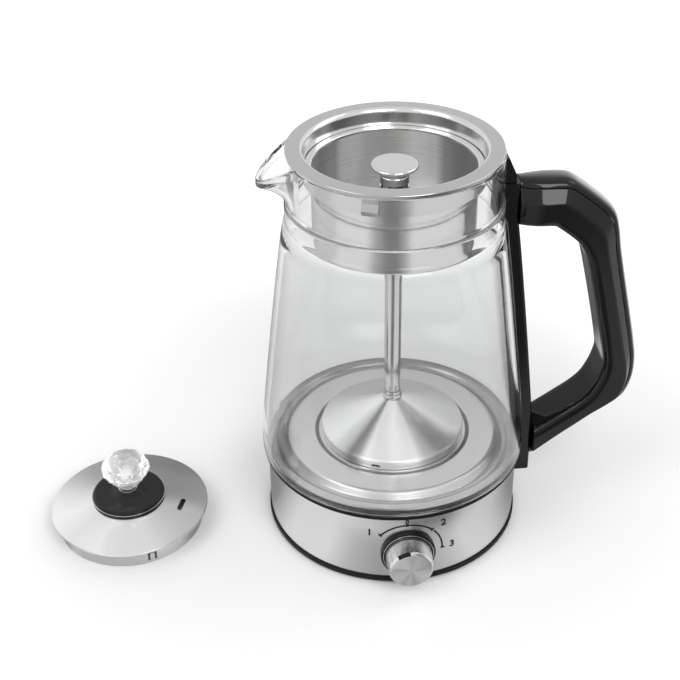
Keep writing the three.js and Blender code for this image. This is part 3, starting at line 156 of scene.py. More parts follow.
def dress(obj, finish, body, slot, *replaced):
    """Assigns a smooth piece and evens its normals."""
    normals = obj.modifiers.new("even normals", "WEIGHTED_NORMAL")
    normals.keep_sharp = True
    assign(obj, finish, body, slot, *replaced)


def ease(obj, width, limit):
    """Rounds the edges of a piece that are sharper than a limit in degrees."""
    bevel = obj.modifiers.new("eased", "BEVEL")
    bevel.width = width * MM
    bevel.segments = 3
    bevel.limit_method = "ANGLE"
    bevel.angle_limit = radians(limit)
    bevel.harden_normals = True


def soften(name, width, finish):
    """A carried-over CAD node with eased edges and its own material."""
    obj = frame["nodes"][name]
    finished(obj, finish)
    ease(obj, width, 40)


def turned(name, outline, facets=FACETS, origin=(0, 0, 0)):
    """A closed outline of (radius, height[, reach]) points turned about the vertical axis."""
    verts = []
    rows = []
    for radius, height in rounded(outline):
        if radius < ON_AXIS:
            rows.append([len(verts)] * facets)
            verts.append((0, 0, height))
            continue
        rows.append(list(range(len(verts), len(verts) + facets)))
        for i in range(facets):
            angle = TURN * i / facets
            verts.append((radius * cos(angle), radius * sin(angle), height))
    faces = []
    for row, following in zip(rows, rows[1:] + rows[:1]):
        for i in range(facets):
            j = (i + 1) % facets
            face = []
            for vert in (row[i], row[j], following[j], following[i]):
                if vert not in face:
                    face.append(vert)
            if len(face) > 2:
                faces.append(face)
    return to_object(name, verts, faces, origin)


def lofted(name, rings, closed_ends=True, origin=(0, 0, 0)):
    """A skin over rings of equally many points."""
    count = len(rings[0])
    verts = [point for ring in rings for point in ring]
    faces = []
    for row in range(len(rings) - 1):
        for i in range(count):
            j = (i + 1) % count
            faces.append((row * count + i, row * count + j, (row + 1) * count + j, (row + 1) * count + i))
    if closed_ends:
        faces.append(tuple(range(count)))
        faces.append(tuple(range((len(rings) - 1) * count, len(rings) * count)))
    return to_object(name, verts, faces, origin)


def blended(points, per_span):
    """More points along a line through the given ones, rounded where it turns."""
    padded = [points[0] * 2 - points[1], *points, points[-1] * 2 - points[-2]]
    out = []
    for i in range(1, len(padded) - 2):
        before, start, end, after = padded[i - 1:i + 3]
        knots = [0.0]
        for a, b in ((before, start), (start, end), (end, after)):
            knots.append(knots[-1] + sqrt((b - a).length))
        for step in range(per_span):
            t = knots[1] + (knots[2] - knots[1]) * step / per_span
            out.append(knot_point((before, start, end, after), knots, t))
    out.append(points[-1])
    return out


def knot_point(points, knots, t):
    """Point at t on the centripetal curve through four points."""
    level = list(points)
    for depth in (1, 2, 3):
        following = []
        for i in range(len(level) - 1):
            low, high = (knots[1], knots[2]) if depth == 3 else (knots[i], knots[i + depth])
            share = (t - low) / (high - low)
            following.append(level[i] * (1 - share) + level[i + 1] * share)
        level = following
    return level[0]


def settled(obj):
    """The mesh of an object as its modifiers or its curve make it."""
    graph = bpy.context.evaluated_depsgraph_get()
    return bpy.data.meshes.new_from_object(obj.evaluated_get(graph))


def carve(obj, *cutters):
    """Cuts the cutters out of obj and deletes them."""
    for cutter in cutters:
        cut = obj.modifiers.new("cut", "BOOLEAN")
        cut.object = cutter
        cut.solver = "EXACT"
    mesh = settled(obj)
    obj.modifiers.clear()
    obj.data = mesh
    for cutter in cutters:
        bpy.data.objects.remove(cutter)
    shade(obj)


def bar(radius, start, end, facets=32):
    """A round cutter between two points."""
    axis = Vector(end) - Vector(start)
    side = axis.orthogonal().normalized()
    other = axis.cross(side).normalized()
    rings = []
    for centre in (Vector(start), Vector(end)):
        rings.append([
            centre + (side * cos(TURN * i / facets) + other * sin(TURN * i / facets)) * radius for i in range(facets)
        ])
    return lofted("cutter", rings)


def brick(low, high, turn=0.0, origin=(0, 0, 0)):
    """A box cutter, turned about the vertical axis."""
    spin = Matrix.Rotation(turn, 3, "Z")
    rings = []
    for z in (low[2], high[2]):
        plan = ((low[0], low[1]), (high[0], low[1]), (high[0], high[1]), (low[0], high[1]))
        rings.append([spin @ Vector((x, y, z)) for x, y in plan])
    return lofted("cutter", rings, origin=origin)


# Node helpers

def node(tree, kind, **values):
    made = tree.nodes.new(kind)
    for key, value in values.items():
        setattr(made, key, value)
    return made


def put(tree, socket, value):
    """Links an output to a socket, or sets the socket to a number, vector or colour."""
    if isinstance(value, bpy.types.NodeSocket):
        tree.links.new(value, socket)
    else:
        socket.default_value = value


def maths(tree, operation, *values):
    made = node(tree, "ShaderNodeMath", operation=operation)
    for socket, value in zip(made.inputs, values):
        put(tree, socket, value)
    return made.outputs["Value"]


def vectors(tree, operation, *values, out="Vector"):
    made = node(tree, "ShaderNodeVectorMath", operation=operation)
    for socket, value in zip(made.inputs, values):
        put(tree, socket, value)
    return made.outputs[out]


def spread(tree, value, start, end, low=0.0, high=1.0, curve="SMOOTHSTEP"):
    """Goes from low to high while the value goes from start to end."""
    made = node(tree, "ShaderNodeMapRange", interpolation_type=curve)
    given = {"Value": value, "From Min": start, "From Max": end, "To Min": low, "To Max": high}
    for name, number in given.items():
        put(tree, made.inputs[name], number)
    return made.outputs["Result"]


def mixed(tree, factor, a, b, data_type="RGBA", blend_type="MIX"):
    made = node(tree, "ShaderNodeMix", data_type=data_type, blend_type=blend_type)
    for name, value in (("Factor", factor), ("A", a), ("B", b)):
        put(tree, made.inputs[name], value)
    return made.outputs["Result"]


def place_on(tree):
    """The shaded point in the object's own coordinates."""
    return node(tree, "ShaderNodeTexCoord").outputs["Object"]


def part_of(tree, vector, axis):
    split = node(tree, "ShaderNodeSeparateXYZ")
    put(tree, split.inputs[0], vector)
    return split.outputs[axis]


def flattened(tree, vector):
    return vectors(tree, "MULTIPLY", vector, (1, 1, 0))


def noise(tree, vector, scale, detail):
    made = node(tree, "ShaderNodeTexNoise")
    for name, value in (("Vector", vector), ("Scale", scale), ("Detail", detail)):
        put(tree, made.inputs[name], value)
    return made.outputs["Fac"]


def by_heading(tree, vector, greys):
    """A grey for each angle in degrees from the front, positive to the right."""
    turn = node(tree, "ShaderNodeTexGradient", gradient_type="RADIAL")
    put(tree, turn.inputs["Vector"], vector)
    scale = node(tree, "ShaderNodeValToRGB")
    stops = scale.color_ramp.elements
    placed = sorted(((0.25 + angle / 360) % 1, grey) for angle, grey in greys)
    seam = (placed[0][1] + placed[-1][1]) / 2
    for position, grey in placed:
        stop = stops.new(position)
        stop.color = (grey, grey, grey, 1)
    for stop in (stops[0], stops[-1]):
        stop.color = (seam, seam, seam, 1)
    put(tree, scale.inputs["Fac"], turn.outputs["Fac"])
    return scale.outputs["Color"]


# Material helpers

GRAIN_ALONG = 0.6
GRAIN_ACROSS = 5.0
RADIUS_BLUR = 0.4


def material(name, **sockets):
    """A new material, its tree and its shader; sockets are named with _ for their spaces."""
    made = bpy.data.materials.new(name)
    made.use_nodes = True
    shader = made.node_tree.nodes["Principled BSDF"]
    for socket, value in sockets.items():
        shader.inputs[socket.replace("_", " ")].default_value = value
    return made, made.node_tree, shader


def surfaced(tree, shader, texture, colour, tint, roughness, uneven, depth, strength):
    """Colour, roughness and height that follow a texture; tint and uneven are shares of colour and roughness."""
    darker = (*[c * (1 - tint) for c in colour], 1)
    lighter = (*[min(1, c * (1 + tint)) for c in colour], 1)
    put(tree, shader.inputs["Base Color"], mixed(tree, texture, darker, lighter))
    rough = spread(tree, texture, 0.3, 0.7, roughness * (1 - uneven), roughness * (1 + uneven), "LINEAR")
    put(tree, shader.inputs["Roughness"], rough)
    bump = node(tree, "ShaderNodeBump")
    for name, value in (("Strength", strength), ("Distance", depth * MM), ("Height", texture)):
        put(tree, bump.inputs[name], value)
    put(tree, shader.inputs["Normal"], bump.outputs["Normal"])


def brushed(tree, shader, stretch, axis):
    """Stretches what the metal mirrors across its brushing, which runs round an axis."""
    shader.inputs["Anisotropic"].default_value = stretch
    shader.inputs["Anisotropic Rotation"].default_value = 0.25
    round_axis = node(tree, "ShaderNodeTangent", direction_type="RADIAL", axis=axis)
    put(tree, shader.inputs["Tangent"], round_axis.outputs["Tangent"])


def ring_coordinates(tree):
    """Coordinates that run slowly round the vertical axis and fast across it."""
    place = place_on(tree)
    flat = flattened(tree, place)
    slow = vectors(tree, "MULTIPLY", vectors(tree, "NORMALIZE", flat), (GRAIN_ALONG, GRAIN_ALONG, GRAIN_ALONG))
    reach = maths(tree, "MULTIPLY", vectors(tree, "LENGTH", flat, out="Value"), GRAIN_ACROSS / MM)
    lift = node(tree, "ShaderNodeCombineXYZ")
    put(tree, lift.inputs["Z"], maths(tree, "MULTIPLY_ADD", part_of(tree, place, "Z"), GRAIN_ACROSS / MM, reach))
    return vectors(tree, "ADD", slow, lift.outputs["Vector"])


def multiplied(tree, shader, factor):
    """Multiplies the colour that is linked so far by a value."""
    socket = shader.inputs["Base Color"]
    put(tree, socket, mixed(tree, 1, socket.links[0].from_socket, factor, blend_type="MULTIPLY"))


def turning_away(tree, start, end, low, high):
    """Goes from low to high as the surface turns away from the viewer."""
    facing = node(tree, "ShaderNodeLayerWeight")
    facing.inputs["Blend"].default_value = 0.5
    return spread(tree, facing.outputs["Facing"], start, end, low, high)


def painted_edge_shade(tree, shader, edge):
    """Paints shade: dims the colour towards the outline of the piece."""
    multiplied(tree, shader, turning_away(tree, 0.55, 0.97, 1, edge))


def painted_shade_beyond(tree, shader, radius, left, front=None):
    """Paints shade: dims the colour outside a radius about the vertical axis; front is what is left at the front, if
    more.
    """
    place = place_on(tree)
    reach = vectors(tree, "LENGTH", flattened(tree, place), out="Value")
    outside = left
    if front:
        outside = spread(tree, part_of(tree, place, "Y"), -0.9 * radius * MM, -0.45 * radius * MM, front, left)
    start, end = (radius - RADIUS_BLUR) * MM, (radius + RADIUS_BLUR) * MM
    multiplied(tree, shader, spread(tree, reach, start, end, 1, outside))


def turned_steel(name, colour, roughness, stretch, edge=1.0, rim=None, metallic=1.0, greys=None):
    """Steel brushed round its own axis.

    edge is what is left of its colour where it turns out of sight, as painted shade; rim a radius in millimetres and
    what is left of its colour beyond it, as painted shade; greys what is left of it by the angle from the front, as
    painted reflections.
    """
    made, tree, shader = material(name, Metallic=metallic)
    brushed(tree, shader, stretch, "Z")
    surfaced(tree, shader, noise(tree, ring_coordinates(tree), 1, 1.5), colour, 0.018, roughness, 0.1, 0.003, 0.12)
    # Painted shade towards the outline and beyond a radius, and painted reflections by the angle from the front.
    if edge < 1:
        painted_edge_shade(tree, shader, edge)
    if rim:
        painted_shade_beyond(tree, shader, *rim)
    if greys:
        multiplied(tree, shader, by_heading(tree, place_on(tree), greys))
    return made


def plain(name, colour, roughness, metallic=0.0, scale=400.0, depth=0.01, strength=0.1, tint=0.08, shine=0.5):
    """A moulded, cast or polished surface with fine uneven texture."""
    made, tree, shader = material(name, Metallic=metallic, Specular_IOR_Level=shine)
    surfaced(tree, shader, noise(tree, place_on(tree), scale, 3), colour, tint, roughness, 0.15, depth, strength)
    return made


def painted_sheen_outline(finish):
    """A copy of a finish with a painted sheen, pale where the surface turns away from the viewer."""
    made = finish.copy()
    made.name = made.name + "_painted_sheen_outline"
    tree = made.node_tree
    socket = tree.nodes["Principled BSDF"].inputs["Base Color"]
    away = turning_away(tree, 0.42, 1, 0, 1)
    put(tree, socket, mixed(tree, away, socket.links[0].from_socket, (0.6, 0.6, 0.6, 1)))
    return made


def glass(name, colour, roughness, index, edge, cloud=0.0, silver=0.0):
    """Clear glass, with painted shade towards its outline; cloud is its white share and silver its mirrored share."""
    made, tree, shader = material(name, Metallic=silver, Transmission_Weight=1 - cloud, IOR=index)
    surfaced(tree, shader, noise(tree, place_on(tree), 25, 1), colour, 0.01, roughness, 0.5, 0.3, 0.06)
    painted_edge_shade(tree, shader, edge)
    return made


# Finishes; the painted reflections are greys of (angle from the front in degrees, share of the colour)

CONE_PAINTED_REFLECTIONS = (
    (-180, 0.8), (-130, 0.75), (-100, 1.0), (-66, 0.95), (-50, 0.6), (-42, 0.18), (-36, 0.3), (-29, 1.0), (13, 1.0),
    (20, 0.6), (32, 0.36), (47, 0.45), (62, 0.9), (95, 1.0), (130, 0.75), (180, 0.8),
)
BAND_PAINTED_REFLECTIONS = (
    (-180, 0.8), (-95, 0.5), (-62, 0.6), (-50, 1.0), (-38, 0.8), (-5, 0.8), (12, 0.85), (24, 1.0), (44, 1.0),
    (60, 0.55), (95, 0.4), (180, 0.8),
)
LINING_PAINTED_REFLECTIONS = (
    (-180, 0.62), (-168, 0.72), (-156, 1.0), (-146, 1.0), (-139, 0.45), (-120, 0.36), (-98, 0.5), (0, 1.0),
    (98, 0.36), (122, 0.36), (134, 0.5), (141, 0.95), (160, 1.0), (170, 0.72), (180, 0.62),
)
LID_PAINTED_REFLECTIONS = (
    (-180, 0.8), (-135, 0.75), (-105, 0.95), (-75, 1.0), (-48, 0.86), (-28, 0.9), (-12, 1.0), (18, 0.97), (45, 0.76),
    (75, 0.6), (110, 0.62), (150, 0.72), (180, 0.76),
)
KNOB_PAINTED_REFLECTIONS = (
    (-180, 0.8), (-150, 1.0), (-120, 1.0), (-98, 0.72), (-80, 0.95), (-45, 1.0), (-25, 0.75), (-8, 0.95), (12, 0.7),
    (40, 1.0), (75, 1.0), (95, 0.75), (120, 1.0), (150, 1.0), (180, 0.8),
)
WIRES = {"wire_brown": (0.2, 0.08, 0.035), "wire_blue": (0.03, 0.1, 0.4), "wire_green": (0.12, 0.3, 0.05)}
KNOB_Z = middle_of("control_knob")[2]
KNOB_GRAIN = (1500, 60, 1500)


def knob_metal():
    """Steel turned about the knob's own axis, with painted reflections by the angle round it."""
    made, tree, shader = material("knob_steel", Metallic=1)
    brushed(tree, shader, 0.7, "Y")
    place, middle = place_on(tree), (0, 0, KNOB_Z * MM)
    grain = noise(tree, vectors(tree, "MULTIPLY", vectors(tree, "SUBTRACT", place, middle), KNOB_GRAIN), 1, 2)
    surfaced(tree, shader, grain, (0.93, 0.93, 0.925), 0.05, 0.22, 0.2, 0.01, 0.2)
    upright = node(tree, "ShaderNodeMapping", vector_type="TEXTURE")
    for name, value in (("Vector", place), ("Location", middle), ("Rotation", (pi / 2, 0, 0))):
        put(tree, upright.inputs[name], value)
    # Painted reflections by the angle round the knob's axis.
    multiplied(tree, shader, by_heading(tree, upright.outputs["Vector"], KNOB_PAINTED_REFLECTIONS))
    return made


# Painted shade on the rim's flange, beyond its collar.
rim_steel = turned_steel("rim_steel", (0.8, 0.8, 0.795), 0.17, 0.3, rim=(42.3, 0.7))
wall_steel = turned_steel("wall_steel", (0.87, 0.87, 0.865), 0.14, 0.2, metallic=0.96)
# Painted reflections by angle on the cup's lining.
lining_steel = turned_steel("lining_steel", (0.86, 0.86, 0.855), 0.3, 0.6, metallic=0.65, greys=LINING_PAINTED_REFLECTIONS)
# Painted shade on the plate beyond its plateau, lighter at the front.
plate_steel = turned_steel("plate_steel", (0.8, 0.795, 0.79), 0.24, 0.6, rim=(52.4, 0.48, 0.9))
# Painted reflections by angle on the cone: a light front with dark flanks.
cone_steel = turned_steel("cone_steel", (1.0, 1.0, 0.995), 0.24, 0.75, metallic=0.7, greys=CONE_PAINTED_REFLECTIONS)
# Painted shade towards the skirt's outline.
skirt_steel = turned_steel("skirt_steel", (0.68, 0.68, 0.68), 0.22, 0.5, edge=0.55)
# Painted reflections by angle on the lid's dome.
lid_steel = turned_steel("lid_steel", (0.9, 0.9, 0.895), 0.2, 0.6, greys=LID_PAINTED_REFLECTIONS)
# Painted shade towards the lid band's outline, and painted reflections by angle.
band_steel = turned_steel("lid_band_steel", (0.66, 0.66, 0.655), 0.2, 0.4, edge=0.5, greys=BAND_PAINTED_REFLECTIONS)
knob_steel = knob_metal()
polished = plain("polished_steel", (0.74, 0.74, 0.735), 0.08, metallic=1.0, tint=0.02, depth=0.004)
zinc = plain("zinc_plate", (0.6, 0.59, 0.54), 0.4, metallic=1.0)
cast = plain("cast_aluminium", (0.5, 0.5, 0.51), 0.55, metallic=1.0, scale=900, depth=0.05, strength=0.4)
brass = plain("brass", (0.62, 0.45, 0.2), 0.35, metallic=1.0)
gloss_black = plain("gloss_black", (0.005, 0.005, 0.005), 0.07, scale=60, depth=0.01, strength=0.02, shine=0.4)
# Painted sheen towards the outline of the handle's outer strip.
cap_black_painted_sheen = painted_sheen_outline(gloss_black)
matt_black = plain("matt_black", (0.01, 0.01, 0.01), 0.5, scale=1500, depth=0.03, strength=0.35, shine=0.15)
rubber = plain("rubber", (0.006, 0.006, 0.006), 0.5, scale=900, depth=0.03, strength=0.3, shine=0.12)
ceramic = plain("ceramic", (0.78, 0.75, 0.7), 0.5)
ink = plain("dial_ink", (0.015, 0.015, 0.015), 0.6, shine=0.2)
# Painted shade towards the jug's outline; the crystal's edge of 1.0 leaves its colour as it is.
clear_glass = glass("clear_glass", (0.85, 0.855, 0.855), 0.02, 1.45, 0.75)
crystal = glass("crystal", (0.97, 0.97, 0.975), 0.01, 1.5, 1.0, cloud=0.15, silver=0.3)
wire_finish = {name: plain(name, colour, 0.45) for name, colour in WIRES.items()}

# Base

BASE_R, SKIRT_LOW, SKIRT_TOP = span("base_skirt")
SHEET = 0.8
SKIRT_LIP = 2.5
INLET_BODY = (27, 19.4)
INLET_Z = middle_of("inlet_socket")[2]
BUSH_HOLE = 4.7
GROOVE_SHADE_HALF = 0.9
GROOVE_SHADE = 0.25


def base_skirt():
    inner = BASE_R - SHEET
    lip = BASE_R - SKIRT_LIP
    skirt = turned("skirt_band", [
        (inner, SKIRT_LOW), (BASE_R, SKIRT_LOW, 0.3), (BASE_R, SKIRT_TOP, 0.9), (lip, SKIRT_TOP, 0.2),
        (lip, SKIRT_TOP - SHEET, 0.2), (inner, SKIRT_TOP - SHEET, 0.5),
    ])
    x, z = INLET_BODY[0] / 2 + FIT, INLET_BODY[1] / 2 + FIT
    carve(
        skirt,
        bar(BUSH_HOLE, (0, -BASE_R / 2, KNOB_Z), (0, -BASE_R - 1, KNOB_Z)),
        brick((-x, BASE_R / 2, INLET_Z - z), (x, BASE_R + 1, INLET_Z + z)),
    )
    dress(skirt, skirt_steel, "base", "steel_brushed", "base_skirt")


def base_cover():
    radius, low, top = span("base_cover")
    rim, ledge = SKIRT_LOW - FIT, SKIRT_LOW + FIT
    lip = BASE_R - SHEET - FIT
    wall = 1.6
    wrap = radius + 0.7
    cover = turned("cover_tray", [
        (0, low), (wrap, low, 0.8), (wrap, ledge, 0.3), (BASE_R + 0.1, ledge), (BASE_R + 0.1, rim), (lip, rim),
        (lip, top, 0.3), (lip - wall, top, 0.3), (lip - wall, rim), (0, rim),
    ])
    pockets = []
    for i in range(1, 5):
        name = f"foot_{i}"
        x, y, _ = middle_of(name)
        foot_r, _, foot_top = span(name)
        pockets.append(bar(foot_r + FIT, (x, y, low - 1), (x, y, foot_top + FIT)))
        pad = turned(f"pad_{i}", [
            (0, 0.35), (foot_r * 0.55, 0.35, 0.3), (foot_r * 0.66, 0, 0.2), (foot_r, 0, 0.6), (foot_r, foot_top, 0.3),
            (0, foot_top),
        ], SMALL_FACETS, (x, y, 0))
        dress(pad, rubber, "base", "rubber_black", name)
    for i in range(1, 4):
        x, y, _ = middle_of(f"cover_screw_{i}")
        pockets.append(bar(3.3, (x, y, low - 1), (x, y, low + 1.4)))
        pockets.append(bar(1.8, (x, y, low + 1), (x, y, rim + 1)))
    carve(cover, *pockets)
    dress(cover, matt_black, "base", "plastic_matt_black", "base_cover")


def seal_ring():
    radius, low, top = span("seal_ring")
    inner = BASE_R - SKIRT_LIP
    bulge = radius + 0.7
    ring = turned("seal_band", [(inner, low), (bulge, low, 0.35), (bulge, top, 0.35), (inner, top)])
    dress(ring, rubber, "base", "rubber_black", "seal_ring")


def heating_plate():
    """Pressed plate with a fine groove round the cone, darkened by painted shade."""
    radius, _, top = span("heating_plate")
    sheet = 1.0
    plateau, bevel, channel, rise = 51.5, 3.0, 2.5, 1.8
    foot = top - bevel
    flange = foot + rise
    slope_end = plateau + bevel
    channel_end = slope_end + channel
    groove = span("funnel_cone")[0] + 2.4
    upper = [
        (0, top), (groove - 1.0, top, 0.3), (groove, top - 0.7, 0.2), (groove + 1.0, top, 0.3), (plateau, top, 1.3),
        (slope_end, foot, 1.2), (channel_end, foot, 1.0), (channel_end + rise, flange, 0.8), (radius, flange),
    ]
    under = [(point[0], point[1] - sheet) for point in upper]
    plate = turned("plate_dish", upper + under[::-1])
    # Painted shade in a band over the groove: dimmed beyond its inner edge and brought back beyond its outer edge.
    tree = plate_steel.node_tree
    shader = tree.nodes["Principled BSDF"]
    painted_shade_beyond(tree, shader, groove - GROOVE_SHADE_HALF, GROOVE_SHADE)
    painted_shade_beyond(tree, shader, groove + GROOVE_SHADE_HALF, 1 / GROOVE_SHADE)
    dress(plate, plate_steel, "base", "steel_satin", "heating_plate")


# Glass jug

JUG_R = corners("glass_jug")[1][0]
_, GLASS_LOW, GLASS_TOP = span("glass_jug")
SPOUT_TIP = 62.4
SHOULDER_Z, SHOULDER_R = 166.0, 51.2
RING_LOW, RING_TOP, RING_R = 168.0, 177.0, 50.2
NECK_R = 49.4
WALL, RING_WALL = 2.6, 4.0
FOOT_Z = GLASS_LOW + 4.5
BULGE = 0.8
NECK_EASE, RING_EASE = 1.6, 1.5
SPOUT_LOW, SPOUT_DIP, SPOUT_ANGLE = 176.0, 10.6, radians(22)
SPOUT_ROUNDING, SPOUT_RISE, SPOUT_FLARE = 0.62, 0.82, 3.1
SPOUT_STEPS, BACK_STEPS, WALL_STEPS, NECK_STEPS, EDGE_STEPS = 28, 150, 26, 22, 6
NECK_ROWS = (167, 168, 168.8, 170, 173, 175, 176, 176.6, 177, 177.4, 177.8, 178.2, 178.6, 179.2)


def smooth(share):
    """A share of at most 1 that starts and ends gently."""
    share = min(1, share)
    return share * share * (3 - 2 * share)


def jug_radius(z):
    """Outer radius of the glass at a height, without the spout."""
    if z <= FOOT_Z:
        return JUG_R
    if z <= SHOULDER_Z:
        share = (z - FOOT_Z) / (SHOULDER_Z - FOOT_Z)
        return JUG_R + (SHOULDER_R - JUG_R) * share + BULGE * sqrt(4 * share * (1 - share))
    if z <= RING_LOW:
        share = (z - SHOULDER_Z) / (RING_LOW - SHOULDER_Z)
        return SHOULDER_R + (RING_R - SHOULDER_R) * share
    if z <= RING_TOP:
        return RING_R
    return RING_R + (NECK_R - RING_R) * smooth((z - RING_TOP) / NECK_EASE)


def jug_wall(z):
    """Thickness of the glass, more in the neck ring."""
    rise = min(1, max(0, (z - RING_LOW + RING_EASE) / (2 * RING_EASE)))
    fall = min(1, max(0, (RING_TOP + RING_EASE - z) / (2 * RING_EASE)))
    return WALL + (RING_WALL - WALL) * smooth(rise * fall)


def spout_share(angle):
    """How much of the spout there is at an angle from its middle."""
    if abs(angle) >= SPOUT_ANGLE:
        return 0
    return (0.5 + 0.5 * cos(pi * angle / SPOUT_ANGLE)) ** SPOUT_ROUNDING


def jug_point(angle, z):
    """Outer surface of the glass at an angle from the spout's middle; z counts as if there were no spout."""
    share = spout_share(angle)
    radius = jug_radius(z)
    if z > SPOUT_LOW and share > 0:
        v = (z - SPOUT_LOW) / (GLASS_TOP - SPOUT_LOW)
        radius += (SPOUT_TIP - NECK_R) * share * min(1, v / SPOUT_RISE) ** SPOUT_FLARE
        z -= SPOUT_DIP * share ** 1.2 * v
    return Vector((-radius * cos(angle), -radius * sin(angle), z))


def jug_angles():
    """Angles round the jug, closer together at the spout."""
    spout = [SPOUT_ANGLE * (i / SPOUT_STEPS - 1) for i in range(2 * SPOUT_STEPS + 1)]
    rest = [SPOUT_ANGLE + (TURN - 2 * SPOUT_ANGLE) * i / BACK_STEPS for i in range(1, BACK_STEPS)]
    return spout + rest


def jug_heights():
    """Heights of the rows, closer together where the neck turns."""
    neck = NECK_ROWS[-1]
    return [
        GLASS_LOW, GLASS_LOW + 0.5, GLASS_LOW + 1.5, FOOT_Z,
        *[FOOT_Z + (SHOULDER_Z - FOOT_Z) * (i / WALL_STEPS) for i in range(1, WALL_STEPS + 1)],
        *NECK_ROWS,
        *[neck + (GLASS_TOP - neck) * (i / NECK_STEPS) for i in range(1, NECK_STEPS + 1)],
    ]


def glass_jug():
    """Outer skin, and an inner one at the wall's thickness from it, joined by rounded edges."""
    angles = jug_angles()
    outer, inner = [], []
    step = 0.01
    for z in jug_heights():
        outer_row, inner_row = [], []
        for angle in angles:
            here = jug_point(angle, z)
            along = jug_point(angle + step / 10, z) - jug_point(angle - step / 10, z)
            up = jug_point(angle, min(z + step, GLASS_TOP)) - jug_point(angle, max(z - step, GLASS_LOW))
            outward = along.cross(up).normalized()
            if outward.dot(Vector((here.x, here.y, 0))) < 0:
                outward = -outward
            outer_row.append(here)
            inner_row.append(here - outward * jug_wall(z))
        outer.append(outer_row)
        inner.append(inner_row)
    lip = half_round(outer[-1], inner[-1], Vector((0, 0, 1)), 0.55)
    foot = half_round(inner[0], outer[0], Vector((0, 0, -1)), 0.1)
    loop = outer + lip + inner[::-1] + foot
    loop.append(outer[0])
    jug = lofted("jug_glass", loop, closed_ends=False)
    jug.visible_shadow = False
    dress(jug, clear_glass, "base", "glass_clear", "glass_jug")


def half_round(start, end, outward, bulge):
    """Rows that round the edge between two rows of points."""
    rows = []
    for i in range(1, EDGE_STEPS):
        turn = pi * i / EDGE_STEPS
        row = []
        for a, b in zip(start, end):
            middle = (a + b) / 2
            half = (a - b) / 2
            row.append(middle + half * cos(turn) + outward * half.length * bulge * sin(turn))
        rows.append(row)
    return rows


# Control knob, bezel and dial

KNOB_LOW, KNOB_HIGH = corners("control_knob")
KNOB_BACK, KNOB_FRONT = -KNOB_HIGH[1], -KNOB_LOW[1]
KNOB_R = span("control_knob")[0]
SHAFT_R = 3.0
POINTER_STEPS = 12
POINTER_START, POINTER_SWEEP = -38, 35
POINTER_SECTION = ((9.4, 0.05), (9.75, 0.05), (10.68, -1.05), (10.68, -1.5), (9.4, -1.5))


def facing_front(obj):
    """Turns a piece that was made upright so that its top faces the front, at the knob's height."""
    obj.data.transform(Matrix.Translation((0, 0, KNOB_Z * MM)) @ Matrix.Rotation(pi / 2, 4, "X"))
    return obj


def control_knob():
    """Turned knob and, as a piece of its own, the black pointer on its edge."""
    bore = KNOB_BACK + 7
    knob = facing_front(turned("knob_barrel", [
        (SHAFT_R + FIT, KNOB_BACK), (KNOB_R + 0.2, KNOB_BACK, 0.3), (KNOB_R + 0.6, KNOB_BACK + 0.8, 0.4),
        (KNOB_R, KNOB_FRONT - 1.1, 0.35), (KNOB_R - 0.9, KNOB_FRONT, 0.35), (0, KNOB_FRONT), (0, bore),
        (SHAFT_R + FIT, bore),
    ], KNOB_FACETS))
    dress(knob, knob_steel, "control", "steel_polished", "control_knob")
    rings = []
    for step in range(POINTER_STEPS + 1):
        angle = radians(POINTER_START + POINTER_SWEEP * step / POINTER_STEPS)
        rings.append([
            Vector((radius * sin(angle), -KNOB_FRONT - forward, KNOB_Z + radius * cos(angle)))
            for radius, forward in POINTER_SECTION
        ])
    dress(lofted("knob_pointer", rings), matt_black, "control", "plastic_matt_black")


def knob_bezel():
    radius = span("knob_bezel")[0]
    face = -corners("knob_bezel")[0][1]
    back = BASE_R - 6
    groove = radius - 1.9
    bezel = facing_front(turned("bezel_ring", [
        (BUSH_HOLE, back), (radius, back), (radius, face - 0.7, 0.4), (radius - 0.9, face - 0.1, 0.3),
        (radius - 1.2, face - 0.5, 0.1), (radius - 1.5, face, 0.2), (groove, face, 0.2),
        (groove - 0.3, face - 0.7, 0.2), (BUSH_HOLE, face - 0.7),
    ], KNOB_FACETS))
    carve(bezel, turned("cutter", [(0, -1), (BASE_R + FIT, -1), (BASE_R + FIT, SKIRT_TOP), (0, SKIRT_TOP)]))
    dress(bezel, gloss_black, "base", "plastic_gloss_black", "knob_bezel")
    for line in (radius - 1.2, groove - 0.5):
        inside, outside = line - 0.16, line + 0.16
        wire = facing_front(turned("bezel_line", [
            (inside, face - 0.75), (inside, face - 0.05, 0.1), (outside, face - 0.05, 0.1), (outside, face - 0.75),
        ], KNOB_FACETS))
        dress(wire, polished, "base", "steel_polished")


DIAL_R = 17.1
DIAL_LINE = 0.85
DIAL_STEP = 3
DIAL_GAP = 4
TICK_IN, TICK_OUT = 0.8, 1.2
DIAL_STOPS = (-51, -2, 43, 91)
DIAL_FIGURES = (("1", -18.6, 31.2, 5.4), ("0", -0.6, 38.2, 3.5), ("2", 17.4, 34.6, 5.4), ("3", 22.4, 19.3, 5.4))
INK_LIFT = 0.05


def on_skirt(across, up):
    """A point printed on the skirt: distance round it from the front, and height."""
    angle = across / BASE_R
    radius = BASE_R + INK_LIFT
    return Vector((radius * sin(angle), -radius * cos(angle), up))


def dial_arc(start, end):
    """A printed arc between two angles from the top, in degrees."""
    steps = max(2, int(abs(end - start) / DIAL_STEP))
    verts, faces = [], []
    for i in range(steps + 1):
        angle = radians(start + (end - start) * i / steps)
        for radius in (DIAL_R - DIAL_LINE / 2, DIAL_R + DIAL_LINE / 2):
            verts.append(on_skirt(radius * sin(angle), KNOB_Z + radius * cos(angle)))
        if i:
            faces.append((2 * i - 2, 2 * i - 1, 2 * i + 1, 2 * i))
    return verts, faces


